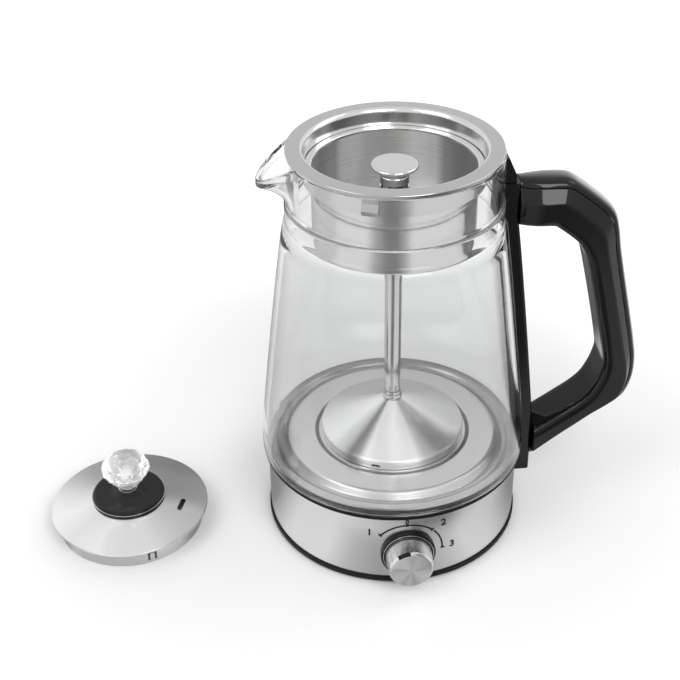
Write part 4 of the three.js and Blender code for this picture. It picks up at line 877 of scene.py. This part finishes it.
def dial_tick(stop):
    """A short printed line across the arc."""
    angle = radians(stop)
    along = Vector((sin(angle), cos(angle)))
    side = Vector((along.y, -along.x)) * DIAL_LINE * 0.6
    verts = []
    for reach in (DIAL_R - TICK_IN, DIAL_R + TICK_OUT):
        for sign in (1, -1):
            spot = along * reach + side * sign
            verts.append(on_skirt(spot.x, KNOB_Z + spot.y))
    return verts, [(0, 1, 3, 2)]


def printed(name, parts):
    """Thin ink on the skirt from flat patches, given a little thickness."""
    verts, faces = [], []
    for patch_verts, patch_faces in parts:
        start = len(verts)
        verts += patch_verts
        faces += [tuple(start + i for i in face) for face in patch_faces]
    obj = to_object(name, verts, faces)
    thick = obj.modifiers.new("thick", "SOLIDIFY")
    thick.thickness = INK_LIFT * MM
    thick.offset = 0
    dress(obj, ink, "base", "plastic_matt_black")


def figure(text, across, up, size):
    """A figure as patches bent round the skirt."""
    curve = bpy.data.curves.new("figure", "FONT")
    curve.body = text
    curve.size = size
    curve.offset = 0.18
    curve.align_x = "CENTER"
    curve.align_y = "CENTER"
    obj = linked("figure", curve)
    mesh = settled(obj)
    verts = [on_skirt(across + v.co.x, up + v.co.y) for v in mesh.vertices]
    faces = [tuple(face.vertices) for face in mesh.polygons]
    bpy.data.objects.remove(obj)
    return verts, faces


def dial():
    arcs = [dial_arc(start + (DIAL_GAP if start > 0 else 0), end) for start, end in zip(DIAL_STOPS, DIAL_STOPS[1:])]
    printed("dial_lines", arcs + [dial_tick(stop) for stop in DIAL_STOPS])
    printed("dial_figures", [figure(*entry) for entry in DIAL_FIGURES])


# Handle

HANDLE_ROOT, HANDLE_REACH, HANDLE_BOTTOM, HANDLE_TOP = 57.0, 121.3, 27.0, 185.0
CAP_DEPTH, HALF_WIDTH, BAND = 3.4, 12.6, 6.4
ROOT_SHARE, ROOT_TAPER = 0.66, 13.0
OUTER_SHARES = (
    (-0.11, 1), (0.295, 1), (0.37, 0.995), (0.435, 0.98), (0.66, 0.905), (0.715, 0.877), (0.746, 0.84),
    (0.787, 0.753), (0.97, 0.42), (0.993, 0.36), (0.989, 0.29), (0.933, 0.225), (0.832, 0.191), (0.7, 0.154),
    (0.59, 0.12), (0.08, -0.035),
)
INNER_SHARES = (
    (-0.11, 0.862), (0.218, 0.862), (0.25, 0.86), (0.277, 0.853), (0.432, 0.8), (0.47, 0.778), (0.487, 0.766),
    (0.52, 0.728), (0.708, 0.396), (0.717, 0.36), (0.7, 0.326), (0.673, 0.294), (0.622, 0.255), (0.552, 0.226),
    (0.435, 0.191), (0.08, 0.091),
)
BAND_SHARES = (1, 1, 1, 1, 1, 0.97, 0.87, 0.72, 0.6, 0.5, 0.42, 0.36, 0.32, 0.3, 0.3, 0.3)
LINE_STEPS = 7
_, SPINE_LOW, SPINE_TOP = span("handle_spine")
SPINE_DEPTH, SPINE_HALF, SPINE_CORNER = 5.3, 6.5, 1.4
SPINE_ROWS, SPINE_COLUMNS, SPINE_ARC = 60, 8, 6


def handle_line(shares):
    width, height = HANDLE_REACH - HANDLE_ROOT, HANDLE_TOP - HANDLE_BOTTOM
    points = [Vector((HANDLE_ROOT + x * width, 0, HANDLE_BOTTOM + z * height)) for x, z in shares]
    return blended(points, LINE_STEPS)


def handle_sweep(name, section):
    """The handle's section, as (depth, half width[, reach]) of one side, carried along both of its lines."""
    rings = []
    for i, (outer, inner) in enumerate(zip(handle_line(OUTER_SHARES), handle_line(INNER_SHARES))):
        station = min(i // LINE_STEPS, len(BAND_SHARES) - 2)
        share = i / LINE_STEPS - station
        band = BAND * (BAND_SHARES[station] * (1 - share) + BAND_SHARES[station + 1] * share)
        inward = (inner - outer).normalized()
        reach = min(1, max(0, ((inner.x + outer.x) / 2 - HANDLE_ROOT) / ROOT_TAPER))
        width = ROOT_SHARE + (1 - ROOT_SHARE) * (1 - (1 - reach) ** 2)
        side = [(depth, half * width, *more) for depth, half, *more in section((inner - outer).length, band)]
        other = [(corner[0], -corner[1], *corner[2:]) for corner in side[::-1]]
        rings.append([outer + inward * depth + Vector((0, half, 0)) for depth, half in rounded(side + other)])
    return lofted(name, rings)


def cap_section(*_):
    """Section of the outer strip, the same all along."""
    return [(0, 1.8, 1.6), (0.35, 4.7, 1.5), (1.45, 7.1, 1.1), (CAP_DEPTH, 8.1, 0.3)]


def body_section(thickness, band):
    """Section of the grip, from its chamfer under the strip to the finger side."""
    return [
        (CAP_DEPTH + FIT, 8.1, 0.4), (CAP_DEPTH + FIT + band, HALF_WIDTH, 1.1), (thickness - 3.4, HALF_WIDTH, 2.0),
        (thickness - 0.9, 11.4, 1.4), (thickness, 8.6, 1.4),
    ]


def spine_rings():
    """Sections of the strip on the glass: its inside follows the glass, its outside is rounded."""
    rings = []
    for row in range(SPINE_ROWS + 1):
        z = SPINE_LOW + (SPINE_TOP - SPINE_LOW) * row / SPINE_ROWS
        glass_r = jug_radius(z)
        inner = (glass_r if z > GLASS_LOW - FIT else BASE_R) + FIT
        outer = max(glass_r, SHOULDER_R) + SPINE_DEPTH
        ring = []
        for i in range(SPINE_COLUMNS + 1):
            y = SPINE_HALF * (2 * i / SPINE_COLUMNS - 1)
            ring.append(Vector((sqrt(inner * inner - y * y), y, z)))
        for centre, first in ((SPINE_HALF - SPINE_CORNER, 90), (SPINE_CORNER - SPINE_HALF, 0)):
            for i in range(SPINE_ARC + 1):
                turn = radians(first - 90 * i / SPINE_ARC)
                across = outer - SPINE_CORNER + SPINE_CORNER * cos(turn)
                ring.append(Vector((across, centre + SPINE_CORNER * sin(turn), z)))
        rings.append(ring)
    return rings


def handle():
    """Strip on the glass, grip and outer strip; the last two stop short of the strip on the glass."""
    upper = SHOULDER_R + SPINE_DEPTH + FIT
    lower = JUG_R + SPINE_DEPTH + FIT
    middle = (HANDLE_TOP + HANDLE_BOTTOM) / 2
    cap = handle_sweep("handle_back", cap_section)
    grip = handle_sweep("handle_grip", body_section)
    for piece in (cap, grip):
        carve(
            piece, brick((0, -HANDLE_ROOT, middle), (upper, HANDLE_ROOT, HANDLE_TOP * 2)),
            brick((0, -HANDLE_ROOT, -HANDLE_TOP), (lower, HANDLE_ROOT, middle)),
        )
        ease(piece, 0.5, 50)
    dress(cap, cap_black_painted_sheen, "base", "plastic_gloss_black", "handle_cap")
    dress(grip, gloss_black, "base", "plastic_gloss_black", "handle_body")
    dress(lofted("handle_strip", spine_rings()), gloss_black, "base", "plastic_gloss_black", "handle_spine")
    soften("handle_hook", 0.5, gloss_black)


# Basket

CUP_SHEET, CUP_FLANGE = 0.6, 3
CUP_BORE = 4 + FIT
HOLE_R, HOLE_FACETS = 0.65, 10
HOLE_RINGS = ((10.5, 12), (14, 16), (17.5, 20), (21, 24), (24.5, 28), (28, 32), (31.5, 36))
NOTCHES, NOTCH_TURN = 4, -1.92
CAP_SLOTS = 4


def basket_rim():
    """Flange and collar, stepped inward at the foot to hold the cup."""
    radius, low, top = span("basket_rim")
    inner, wall, sheet, shoulder = 40.5, 0.9, 2.0, 4.0
    outer = inner + wall
    under = top - sheet
    cup_gap = span("basket_cup")[0] - CUP_FLANGE + CUP_SHEET + FIT
    rim = turned("rim_flange", [
        (inner + 1.3, top, 0.6), (radius, top, 0.55), (radius, under, 0.45), (outer + 1.2, under, 0.5),
        (outer, under - 1.2, 0.8), (outer, low, 0.2), (cup_gap, low, 0.2), (cup_gap, low + shoulder, 0.5),
        (inner, low + shoulder, 0.2), (inner, top - 1.4, 0.9),
    ])
    dress(rim, rim_steel, "basket", "steel_brushed", "basket_rim")


def basket_cup():
    """Perforated cup: outer half of the sheet with the flange, and its inner half as a lining."""
    flange, low, top = span("basket_cup")
    sheet, bore, corner = CUP_SHEET, CUP_BORE, 3.2
    inner = flange - CUP_FLANGE
    outer = inner + sheet
    middle, floor_z, step = inner + sheet / 2, low + sheet / 2, top - 1.3
    cup = turned("cup_wall", [
        (bore, low), (outer, low, corner), (outer, top - sheet, 0.3), (flange, top - sheet, 0.15),
        (flange, top, 0.2), (inner, top, 1.1), (inner, step), (middle, step), (middle, floor_z, corner - sheet / 2),
        (bore, floor_z),
    ])
    lining = turned("cup_lining", [
        (bore, floor_z), (middle, floor_z, corner - sheet / 2), (middle, step), (inner, step),
        (inner, low + sheet, corner - sheet), (bore, low + sheet),
    ])
    holes = []
    for pitch, count in HOLE_RINGS:
        for i in range(count):
            angle = TURN * i / count
            spot = (pitch * cos(angle), pitch * sin(angle))
            holes.append(bar(HOLE_R, (*spot, low - 1), (*spot, low + sheet + 1), HOLE_FACETS))
    holes = joined(holes)
    carve(lining, holes.copy())
    carve(cup, holes)
    dress(cup, wall_steel, "basket", "steel_brushed", "basket_cup")
    dress(lining, lining_steel, "basket", "steel_brushed")


def joined(objects):
    """One object from many that don't touch."""
    work = bmesh.new()
    for obj in objects:
        work.from_mesh(obj.data)
        bpy.data.objects.remove(obj)
    mesh = bpy.data.meshes.new("joined")
    work.to_mesh(mesh)
    work.free()
    return linked("joined", mesh)


def riser():
    radius, low, top = span("riser_tube")
    bore = radius - 0.8
    tube = turned("tube_pipe", [
        (bore, low, 0.2), (radius, low, 0.2), (radius, top, 0.25), (bore, top, 0.25),
    ], SMALL_FACETS)
    dress(tube, polished, "basket", "steel_polished", "riser_tube")
    radius, low, top = span("cap_seat")
    seat = turned("seat_ring", [
        (CUP_BORE, low), (radius, low, 0.5), (radius, top - 1, 0.3), (radius - 0.7, top, 0.3), (CUP_BORE, top),
    ], SMALL_FACETS)
    dress(seat, wall_steel, "basket", "steel_brushed", "cap_seat")
    radius, low, top = span("tube_collar")
    waist = (low + top) / 2
    collar = turned("collar_ring", [
        (CUP_BORE, low), (radius, low, 0.5), (radius, waist - 0.5, 0.4), (radius - 0.45, waist, 0.3),
        (radius, waist + 0.5, 0.4), (radius - 0.2, top, 0.5), (CUP_BORE, top),
    ], SMALL_FACETS)
    dress(collar, polished, "basket", "steel_polished", "tube_collar")
    soften("tube_nut", 0.3, wall_steel)


def funnel():
    radius, low, top = span("funnel_cone")
    sheet, wall, edge = 0.8, 4.2, 1.8
    inner, bore = radius - sheet, CUP_BORE
    bend = low + wall + edge / 2
    cone = turned("funnel_shell", [
        (radius, low, 0.15), (radius, low + wall, 1.1), (radius - edge, bend, 0.7), (bore + sheet, top, 0.4),
        (bore, top, 0.1), (bore, top - sheet), (inner - edge, bend - sheet, 0.7), (inner, low + wall - sheet, 0.6),
        (inner, low, 0.15),
    ])
    notches = []
    for i in range(NOTCHES):
        turn = NOTCH_TURN + TURN * i / NOTCHES
        notches.append(brick((inner - 1, -2.0, low + 0.6), (radius + 1, 2.0, low + 2.3), turn))
    carve(cone, *notches)
    dress(cone, cone_steel, "basket", "steel_brushed", "funnel_cone")


def springs():
    for name in ("rim_spring_1", "rim_spring_2"):
        soften(name, 0.12, rim_steel)


def spray_cap():
    radius, low, top = span("spray_cap")
    disc = top - 2.4
    neck, bore = 6.7, 5.2
    cap = turned("cap_button", [
        (0, top), (radius - 0.6, top, 0.9), (radius, top - 1.0, 0.6), (radius - 0.9, disc + 0.25, 0.9),
        (neck, disc, 0.3), (neck, disc - 2.2, 0.3), (neck - 0.35, disc - 2.7, 0.2), (neck, disc - 3.2, 0.3),
        (neck, low, 0.25), (bore, low, 0.25), (bore, disc, 0.3), (0, disc),
    ], 96)
    slots = []
    for i in range(CAP_SLOTS):
        turn = TURN * i / CAP_SLOTS - pi / 2
        slots.append(brick((bore / 2, -3.6, disc - 8.4), (neck + 1, 3.6, disc - 6.4), turn))
    carve(cap, *slots)
    dress(cap, polished, "cap", "steel_polished", "spray_cap")


# Lid

LID_AT = (*middle_of("lid_dome")[:2], 0)
LID_R = span("lid_dome")[0]
LID_CROWN, LID_DROP, LID_POWER, LID_SHEET = 17.0, 6.8, 1.9, 0.8
SCREW_BORE = 2.1
DOME_STEPS = 22
VENT_TURN, VENT_PITCH, VENT_LENGTH, VENT_WIDTH = -0.3, 28.0, 6.4, 2.4
VENT_LOW, VENT_TOP = 5, 20
TONGUES, TONGUE_TURN = 2, -1.24
TONGUE_HALF, TONGUE_SLIT, TONGUE_HEIGHT, TONGUE_DROP = 1.15, 1.1, 4.1, 4.3
CRYSTAL_R, CRYSTAL_SIDES = 12.3, 12
CRYSTAL_ROWS = (
    (0.36, 0.0, 0), (0.53, 0.14, 1), (0.71, 0.29, 0), (0.88, 0.44, 1), (1.0, 0.58, 0), (0.97, 0.69, 1),
    (0.84, 0.84, 0), (0.6, 0.94, 1), (0.28, 1.0, 0),
)


def dome_height(radius):
    return LID_CROWN - LID_DROP * (radius / LID_R) ** LID_POWER


def lid_dome():
    """Domed sheet with a rolled edge and an oval vent."""
    upper = []
    for i in range(DOME_STEPS + 1):
        radius = SCREW_BORE + (LID_R - 0.35 - SCREW_BORE) * i / DOME_STEPS
        upper.append((radius, dome_height(radius)))
    under = [(radius - 0.15, height - LID_SHEET) for radius, height in upper[:-1]]
    edge = dome_height(LID_R)
    roll = [(LID_R, edge - 0.25, 0.3), (LID_R, edge - 0.95, 0.35), (LID_R - 1.0, edge - 0.75, 0.2)]
    dome = turned("dome_shell", upper + roll + under[::-1], origin=LID_AT)
    half_l, half_w = VENT_LENGTH / 2, VENT_WIDTH / 2
    vent = [brick((VENT_PITCH - half_w, -half_l, VENT_LOW), (VENT_PITCH + half_w, half_l, VENT_TOP), VENT_TURN, LID_AT)]
    for end in (half_l, -half_l):
        spot = Vector(LID_AT) + Matrix.Rotation(VENT_TURN, 3, "Z") @ Vector((VENT_PITCH, end, 0))
        vent.append(bar(half_w, spot + Vector((0, 0, VENT_LOW)), spot + Vector((0, 0, VENT_TOP)), 24))
    carve(dome, *vent)
    dress(dome, lid_steel, "lid", "steel_brushed", "lid_dome")


def lid_skirt():
    """Band with two tongues, each cut free by slits at its sides and top."""
    radius, low, top = span("lid_skirt")
    inner = radius - LID_SHEET
    band = turned("lid_band", [
        (inner, low, 0.15), (radius, low, 0.35), (radius, top, 0.1), (inner, top, 0.1),
    ], origin=LID_AT)
    half, slit, tip = TONGUE_HALF, TONGUE_SLIT, top - TONGUE_DROP
    cuts = []
    for i in range(TONGUES):
        turn = TONGUE_TURN + TURN * i / TONGUES
        for start in (-half - slit, half):
            low_corner = (inner - 1, start, tip - TONGUE_HEIGHT)
            cuts.append(brick(low_corner, (radius + 1, start + slit, tip), turn, LID_AT))
        cuts.append(brick((inner - 1, -half - slit, tip - 0.01), (radius + 1, half + slit, tip + slit), turn, LID_AT))
    carve(band, *cuts)
    dress(band, band_steel, "lid", "steel_brushed", "lid_skirt")


def lid_top():
    radius = span("lid_disc")[0]
    neck = 4.3
    edge = dome_height(radius) + FIT + 2.2
    top = span("lid_disc")[2]
    disc = turned("lid_plate", [
        (SCREW_BORE, dome_height(SCREW_BORE) + FIT), (radius / 2, dome_height(radius / 2) + FIT),
        (radius, dome_height(radius) + FIT, 0.3), (radius, edge - 1.2, 0.3), (radius - 0.55, edge - 1.0, 0.2),
        (radius - 0.55, edge - 0.1, 0.4), (radius - 1.5, edge + 0.5, 0.6),
        (radius / 2, edge + 0.3, 2.0), (neck * 1.7, edge + 0.7, 1.0), (neck, edge + 1.8, 0.8), (neck, top, 0.4),
        (SCREW_BORE, top),
    ], KNOB_FACETS, LID_AT)
    dress(disc, gloss_black, "lid", "plastic_gloss_black", "lid_disc")
    trims = ((radius - 0.3, radius + 0.04, edge - 1.2, edge - 0.9), (neck - 0.1, neck + 0.5, top - 1.6, top - 0.6))
    for inside, outside, under, over in trims:
        trim = turned("plate_trim", [
            (inside, under), (outside, under, 0.08), (outside, over, 0.08), (inside, over),
        ], SMALL_FACETS, LID_AT)
        dress(trim, polished, "lid", "steel_polished")


def crystal_knob():
    """Cut crystal: the hull of rows of points, every other row turned by half a side."""
    _, base, top = span("crystal_knob")
    work = bmesh.new()
    for share, rise, odd in CRYSTAL_ROWS:
        for i in range(CRYSTAL_SIDES):
            angle = TURN * (i + odd / 2) / CRYSTAL_SIDES
            reach = share * CRYSTAL_R
            work.verts.new(Vector((cos(angle) * reach, sin(angle) * reach, base + rise * (top - base))) * MM)
    bmesh.ops.convex_hull(work, input=work.verts)
    mesh = bpy.data.meshes.new("crystal_cut")
    work.to_mesh(mesh)
    work.free()
    centre = Vector(LID_AT)
    gem = linked("crystal_cut", mesh, centre * MM)
    carve(gem, bar(SCREW_BORE, centre + Vector((0, 0, base - 1)), centre + Vector((0, 0, base + 7)), 24))
    gem.data.polygons.foreach_set("use_smooth", [False] * len(gem.data.polygons))
    gem.visible_shadow = False
    assign(gem, crystal, "lid", "crystal_clear", "crystal_knob")


# Hidden and carried-over nodes

def carried_over():
    finishes = {
        "clamp_ring": cast, "heat_spreader": cast, "heating_element": polished, "thermostat": ceramic,
        "thermal_fuse": ceramic, "switch_body": matt_black, "switch_shaft": brass, "plate_seal": rubber,
        "wire_live": wire_finish["wire_brown"], "wire_switched": wire_finish["wire_brown"],
        "wire_neutral": wire_finish["wire_blue"], "wire_earth": wire_finish["wire_green"],
        "cover_screw_1": zinc, "cover_screw_2": zinc, "cover_screw_3": zinc, "handle_screw_upper": zinc,
        "handle_screw_lower": zinc, "lid_washer": zinc,
    }
    for name, finish in finishes.items():
        finished(frame["nodes"][name], finish)
    soften("inlet_socket", 0.5, matt_black)
    for name in ("pin_live", "pin_neutral", "pin_earth"):
        soften(name, 0.3, brass)
    soften("lid_screw", 0.3, zinc)


# Studio: floor, world, cloths that only reflections see, lamps and camera

FLOOR_REACH = 6.0
FLOOR_LIFT = 0.45
FLOOR_LIFT_FROM, FLOOR_LIFT_TO = 0.09, 0.42
FLOOR_MIRRORED, WORLD_MIRRORED = 0.1, 0.45
TENT_AT, RING_AT = (-0.03, 0, 0), (0, 0, 0)
TENT_PROFILE = ((0.1, 0.002), (0.2, 0.002), (0.2, 0.26))
RING_PROFILE = ((0.064, 0.003), (0.0956, 0.003))
TENT_CHANGE, TENT_FADE, INSIDE_FADE = (0.065, 0.095), (0.19, 0.26), (0.1, 0.22)
LID_CLEARANCE = 2
WHITE = (1, 1, 1, 1)
LOW_GREYS = (
    (-150, 0.3), (-130, 0.5), (-112, 0.95), (-99, 1.0), (-90, 0.8), (-82, 0.45), (-72, 0.7), (-64, 0.9), (-40, 0.8),
    (-15, 0.6), (5, 0.6), (18, 0.45), (28, 0.15), (42, 0.15), (52, 0.6), (70, 0.85), (88, 0.7), (104, 0.85), (112, 1.0),
    (131, 1.0), (136, 0.2), (158, 0.3), (180, 0.4), (-165, 0.3),
)
UPPER_GREYS = (
    (-95, 1.0), (-112, 0.97), (-124, 0.85), (-140, 0.62), (-158, 0.42), (-172, 0.45), (180, 0.5), (150, 0.6),
    (136, 0.6), (130, 1.0), (112, 1.0), (95, 0.8), (72, 0.6), (45, 0.2), (28, 0.2), (0, 0.6), (-20, 0.7), (-62, 0.8),
    (-80, 0.8),
)
INSIDE_GREYS = (
    (-90, 0.75), (-80, 1.0), (-58, 1.0), (-36, 1.0), (-22, 0.45), (-8, 0.14), (4, 0.12), (14, 0.4), (24, 1.0),
    (42, 1.0), (78, 1.0), (92, 0.7), (106, 0.2), (120, 0.3), (150, 0.45), (180, 0.4), (-165, 0.5), (-145, 0.65),
    (-125, 0.8), (-106, 0.75),
)
RING_GREYS = (
    (-120, 0.35), (-100, 0.35), (-90, 0.45), (-80, 0.72), (-68, 0.96), (-42, 0.98), (-28, 0.62), (-13, 0.44),
    (5, 0.44), (20, 0.65), (35, 0.9), (50, 0.85), (62, 0.7), (74, 0.5), (84, 0.35), (120, 0.35),
)


def looked_at(tree, mirrored):
    """1 for rays to the camera and through glass, and a share of it for mirrors."""
    path = node(tree, "ShaderNodeLightPath").outputs
    seen = maths(tree, "MAXIMUM", path["Is Camera Ray"], path["Is Transmission Ray"])
    return maths(tree, "MAXIMUM", seen, maths(tree, "MULTIPLY", path["Is Glossy Ray"], mirrored))


def floor():
    """White floor; away from the object it is lifted to full white, and near it keeps its shadow."""
    reach = FLOOR_REACH
    square = [(-reach, -reach, 0), (reach, -reach, 0), (reach, reach, 0), (-reach, reach, 0)]
    obj = linked("floor", mesh_from("floor", square, [(0, 1, 2, 3)]))
    made, tree, shader = material(
        "floor_white", Base_Color=(0.97, 0.97, 0.97, 1), Roughness=0.9, Specular_IOR_Level=0, Emission_Color=WHITE,
    )
    away = vectors(tree, "LENGTH", node(tree, "ShaderNodeNewGeometry").outputs["Position"], out="Value")
    lift = spread(tree, away, FLOOR_LIFT_FROM, FLOOR_LIFT_TO, 0, FLOOR_LIFT)
    shown = maths(tree, "MULTIPLY", lift, looked_at(tree, FLOOR_MIRRORED))
    put(tree, shader.inputs["Emission Strength"], shown)
    made.cycles.emission_sampling = "NONE"
    obj.data.materials.append(made)


def world():
    """White all round, a little dimmer overhead for what lights the matt surfaces."""
    made = bpy.data.worlds.new("studio")
    bpy.context.scene.world = made
    made.use_nodes = True
    tree = made.node_tree
    background = tree.nodes["Background"]
    up = part_of(tree, node(tree, "ShaderNodeTexCoord").outputs["Generated"], "Z")
    sky = spread(tree, up, 0.15, 0.9, 0.7, 0.58, "LINEAR")
    strength = mixed(tree, looked_at(tree, WORLD_MIRRORED), sky, 1.0, data_type="FLOAT")
    put(tree, background.inputs["Strength"], strength)
    background.inputs["Color"].default_value = WHITE


def risen(tree, height, limits, under, over):
    """Goes over from one colour to another between two heights in metres."""
    return mixed(tree, spread(tree, height, *limits, curve="LINEAR"), under, over)


def cloth_rays(tree):
    """1 for the mirrored rays that a cloth is for.

    Rays through one or two faces of glass, diffuse rays and whatever lies by the lid don't see it.
    """
    path = node(tree, "ShaderNodeLightPath").outputs
    spot = node(tree, "ShaderNodeNewGeometry").outputs["Position"]
    away = vectors(tree, "DISTANCE", spot, Vector(LID_AT) * MM, out="Value")
    in_glass = maths(tree, "COMPARE", path["Transmission Depth"], 1.5, 1.0)
    seen = maths(tree, "LESS_THAN", in_glass, 0.5)
    for value, operation, limit in (
        (path["Glossy Depth"], "GREATER_THAN", 0.5), (path["Diffuse Depth"], "LESS_THAN", 0.5),
        (away, "GREATER_THAN", (LID_R + LID_CLEARANCE) * MM),
    ):
        seen = maths(tree, "MULTIPLY", seen, maths(tree, operation, value, limit))
    return seen


def cloth(name, at, profile, greys, upper=None, inside=None):
    """Round cloth with soft bright and dark strips by angle from the front, which only reflections see.

    upper are the greys further up, inside those for rays that have passed three faces of glass or more.
    """
    facets = 128
    count = len(profile)
    verts, faces = [], []
    for i in range(facets):
        angle = TURN * i / facets
        verts += [(radius * cos(angle), radius * sin(angle), z) for radius, z in profile]
        a, b = count * i, count * ((i + 1) % facets)
        faces += [(a + row, b + row, b + row + 1, a + row + 1) for row in range(count - 1)]
    obj = linked(name, mesh_from(name, verts, faces), at)
    made, tree, shader = material(name + "_cloth", Base_Color=(0, 0, 0, 1), Specular_IOR_Level=0)
    made.cycles.emission_sampling = "NONE"
    seen = cloth_rays(tree)
    put(tree, shader.inputs["Emission Strength"], seen)
    put(tree, shader.inputs["Alpha"], seen)
    place = place_on(tree)
    colour = by_heading(tree, place, greys)
    if upper:
        height = part_of(tree, place, "Z")
        colour = risen(tree, height, TENT_CHANGE, colour, by_heading(tree, place, upper))
        outer = risen(tree, height, TENT_FADE, colour, WHITE)
        inner = risen(tree, height, INSIDE_FADE, by_heading(tree, place, inside), WHITE)
        passed = node(tree, "ShaderNodeLightPath").outputs["Transmission Depth"]
        colour = mixed(tree, maths(tree, "GREATER_THAN", passed, 2.5), outer, inner)
    put(tree, shader.inputs["Emission Color"], colour)
    obj.data.materials.append(made)
    obj.visible_camera = False
    obj.visible_diffuse = False
    obj.visible_shadow = False


def lamp(name, place, target, size, power):
    light = bpy.data.lights.new(name, "AREA")
    light.shape = "RECTANGLE"
    light.size, light.size_y = size
    light.energy = power
    obj = linked(name, light, place)
    obj.rotation_euler = (Vector(target) - Vector(place)).to_track_quat("-Z", "Y").to_euler()


def camera():
    """The photo's camera, as fitted to the rims in it."""
    data = bpy.data.cameras.new("camera")
    data.lens = 68.55
    data.sensor_width = 36
    obj = linked("camera", data)
    right = Vector((0.9955739, -0.0929581, -0.0138340))
    up = Vector((0.0629633, 0.5504390, 0.8324978))
    back = -Vector((0.0697726, 0.8296841, -0.5538557))
    turn = Matrix((right, up, back)).transposed().to_4x4()
    obj.matrix_world = Matrix.Translation((-0.069457, -0.519637, 0.448792)) @ turn
    bpy.context.scene.camera = obj


camera()
base_skirt()
base_cover()
seal_ring()
heating_plate()
glass_jug()
control_knob()
knob_bezel()
dial()
handle()
basket_rim()
springs()
basket_cup()
riser()
funnel()
spray_cap()
lid_dome()
lid_skirt()
lid_top()
crystal_knob()
carried_over()
floor()
world()
cloth("tent", TENT_AT, TENT_PROFILE, LOW_GREYS, UPPER_GREYS, INSIDE_GREYS)
cloth("ring", RING_AT, RING_PROFILE, RING_GREYS)
lamp("lamp_left", (-0.9, -0.4, 1.1), (0, 0, 0.1), (0.8, 0.8), 3.6)
lamp("lamp_right", (1.0, 0.2, 1.0), (0, 0, 0.1), (0.6, 0.9), 2.2)
lamp("lamp_front", (0.22, -0.74, 0.82), (0.04, -0.03, 0.1), (0.5, 0.5), 3.8)
scene = bpy.context.scene
scene.view_settings.view_transform = "Standard"
scene.cycles.max_bounces = 20
scene.cycles.glossy_bounces = 12
scene.cycles.transmission_bounces = 16
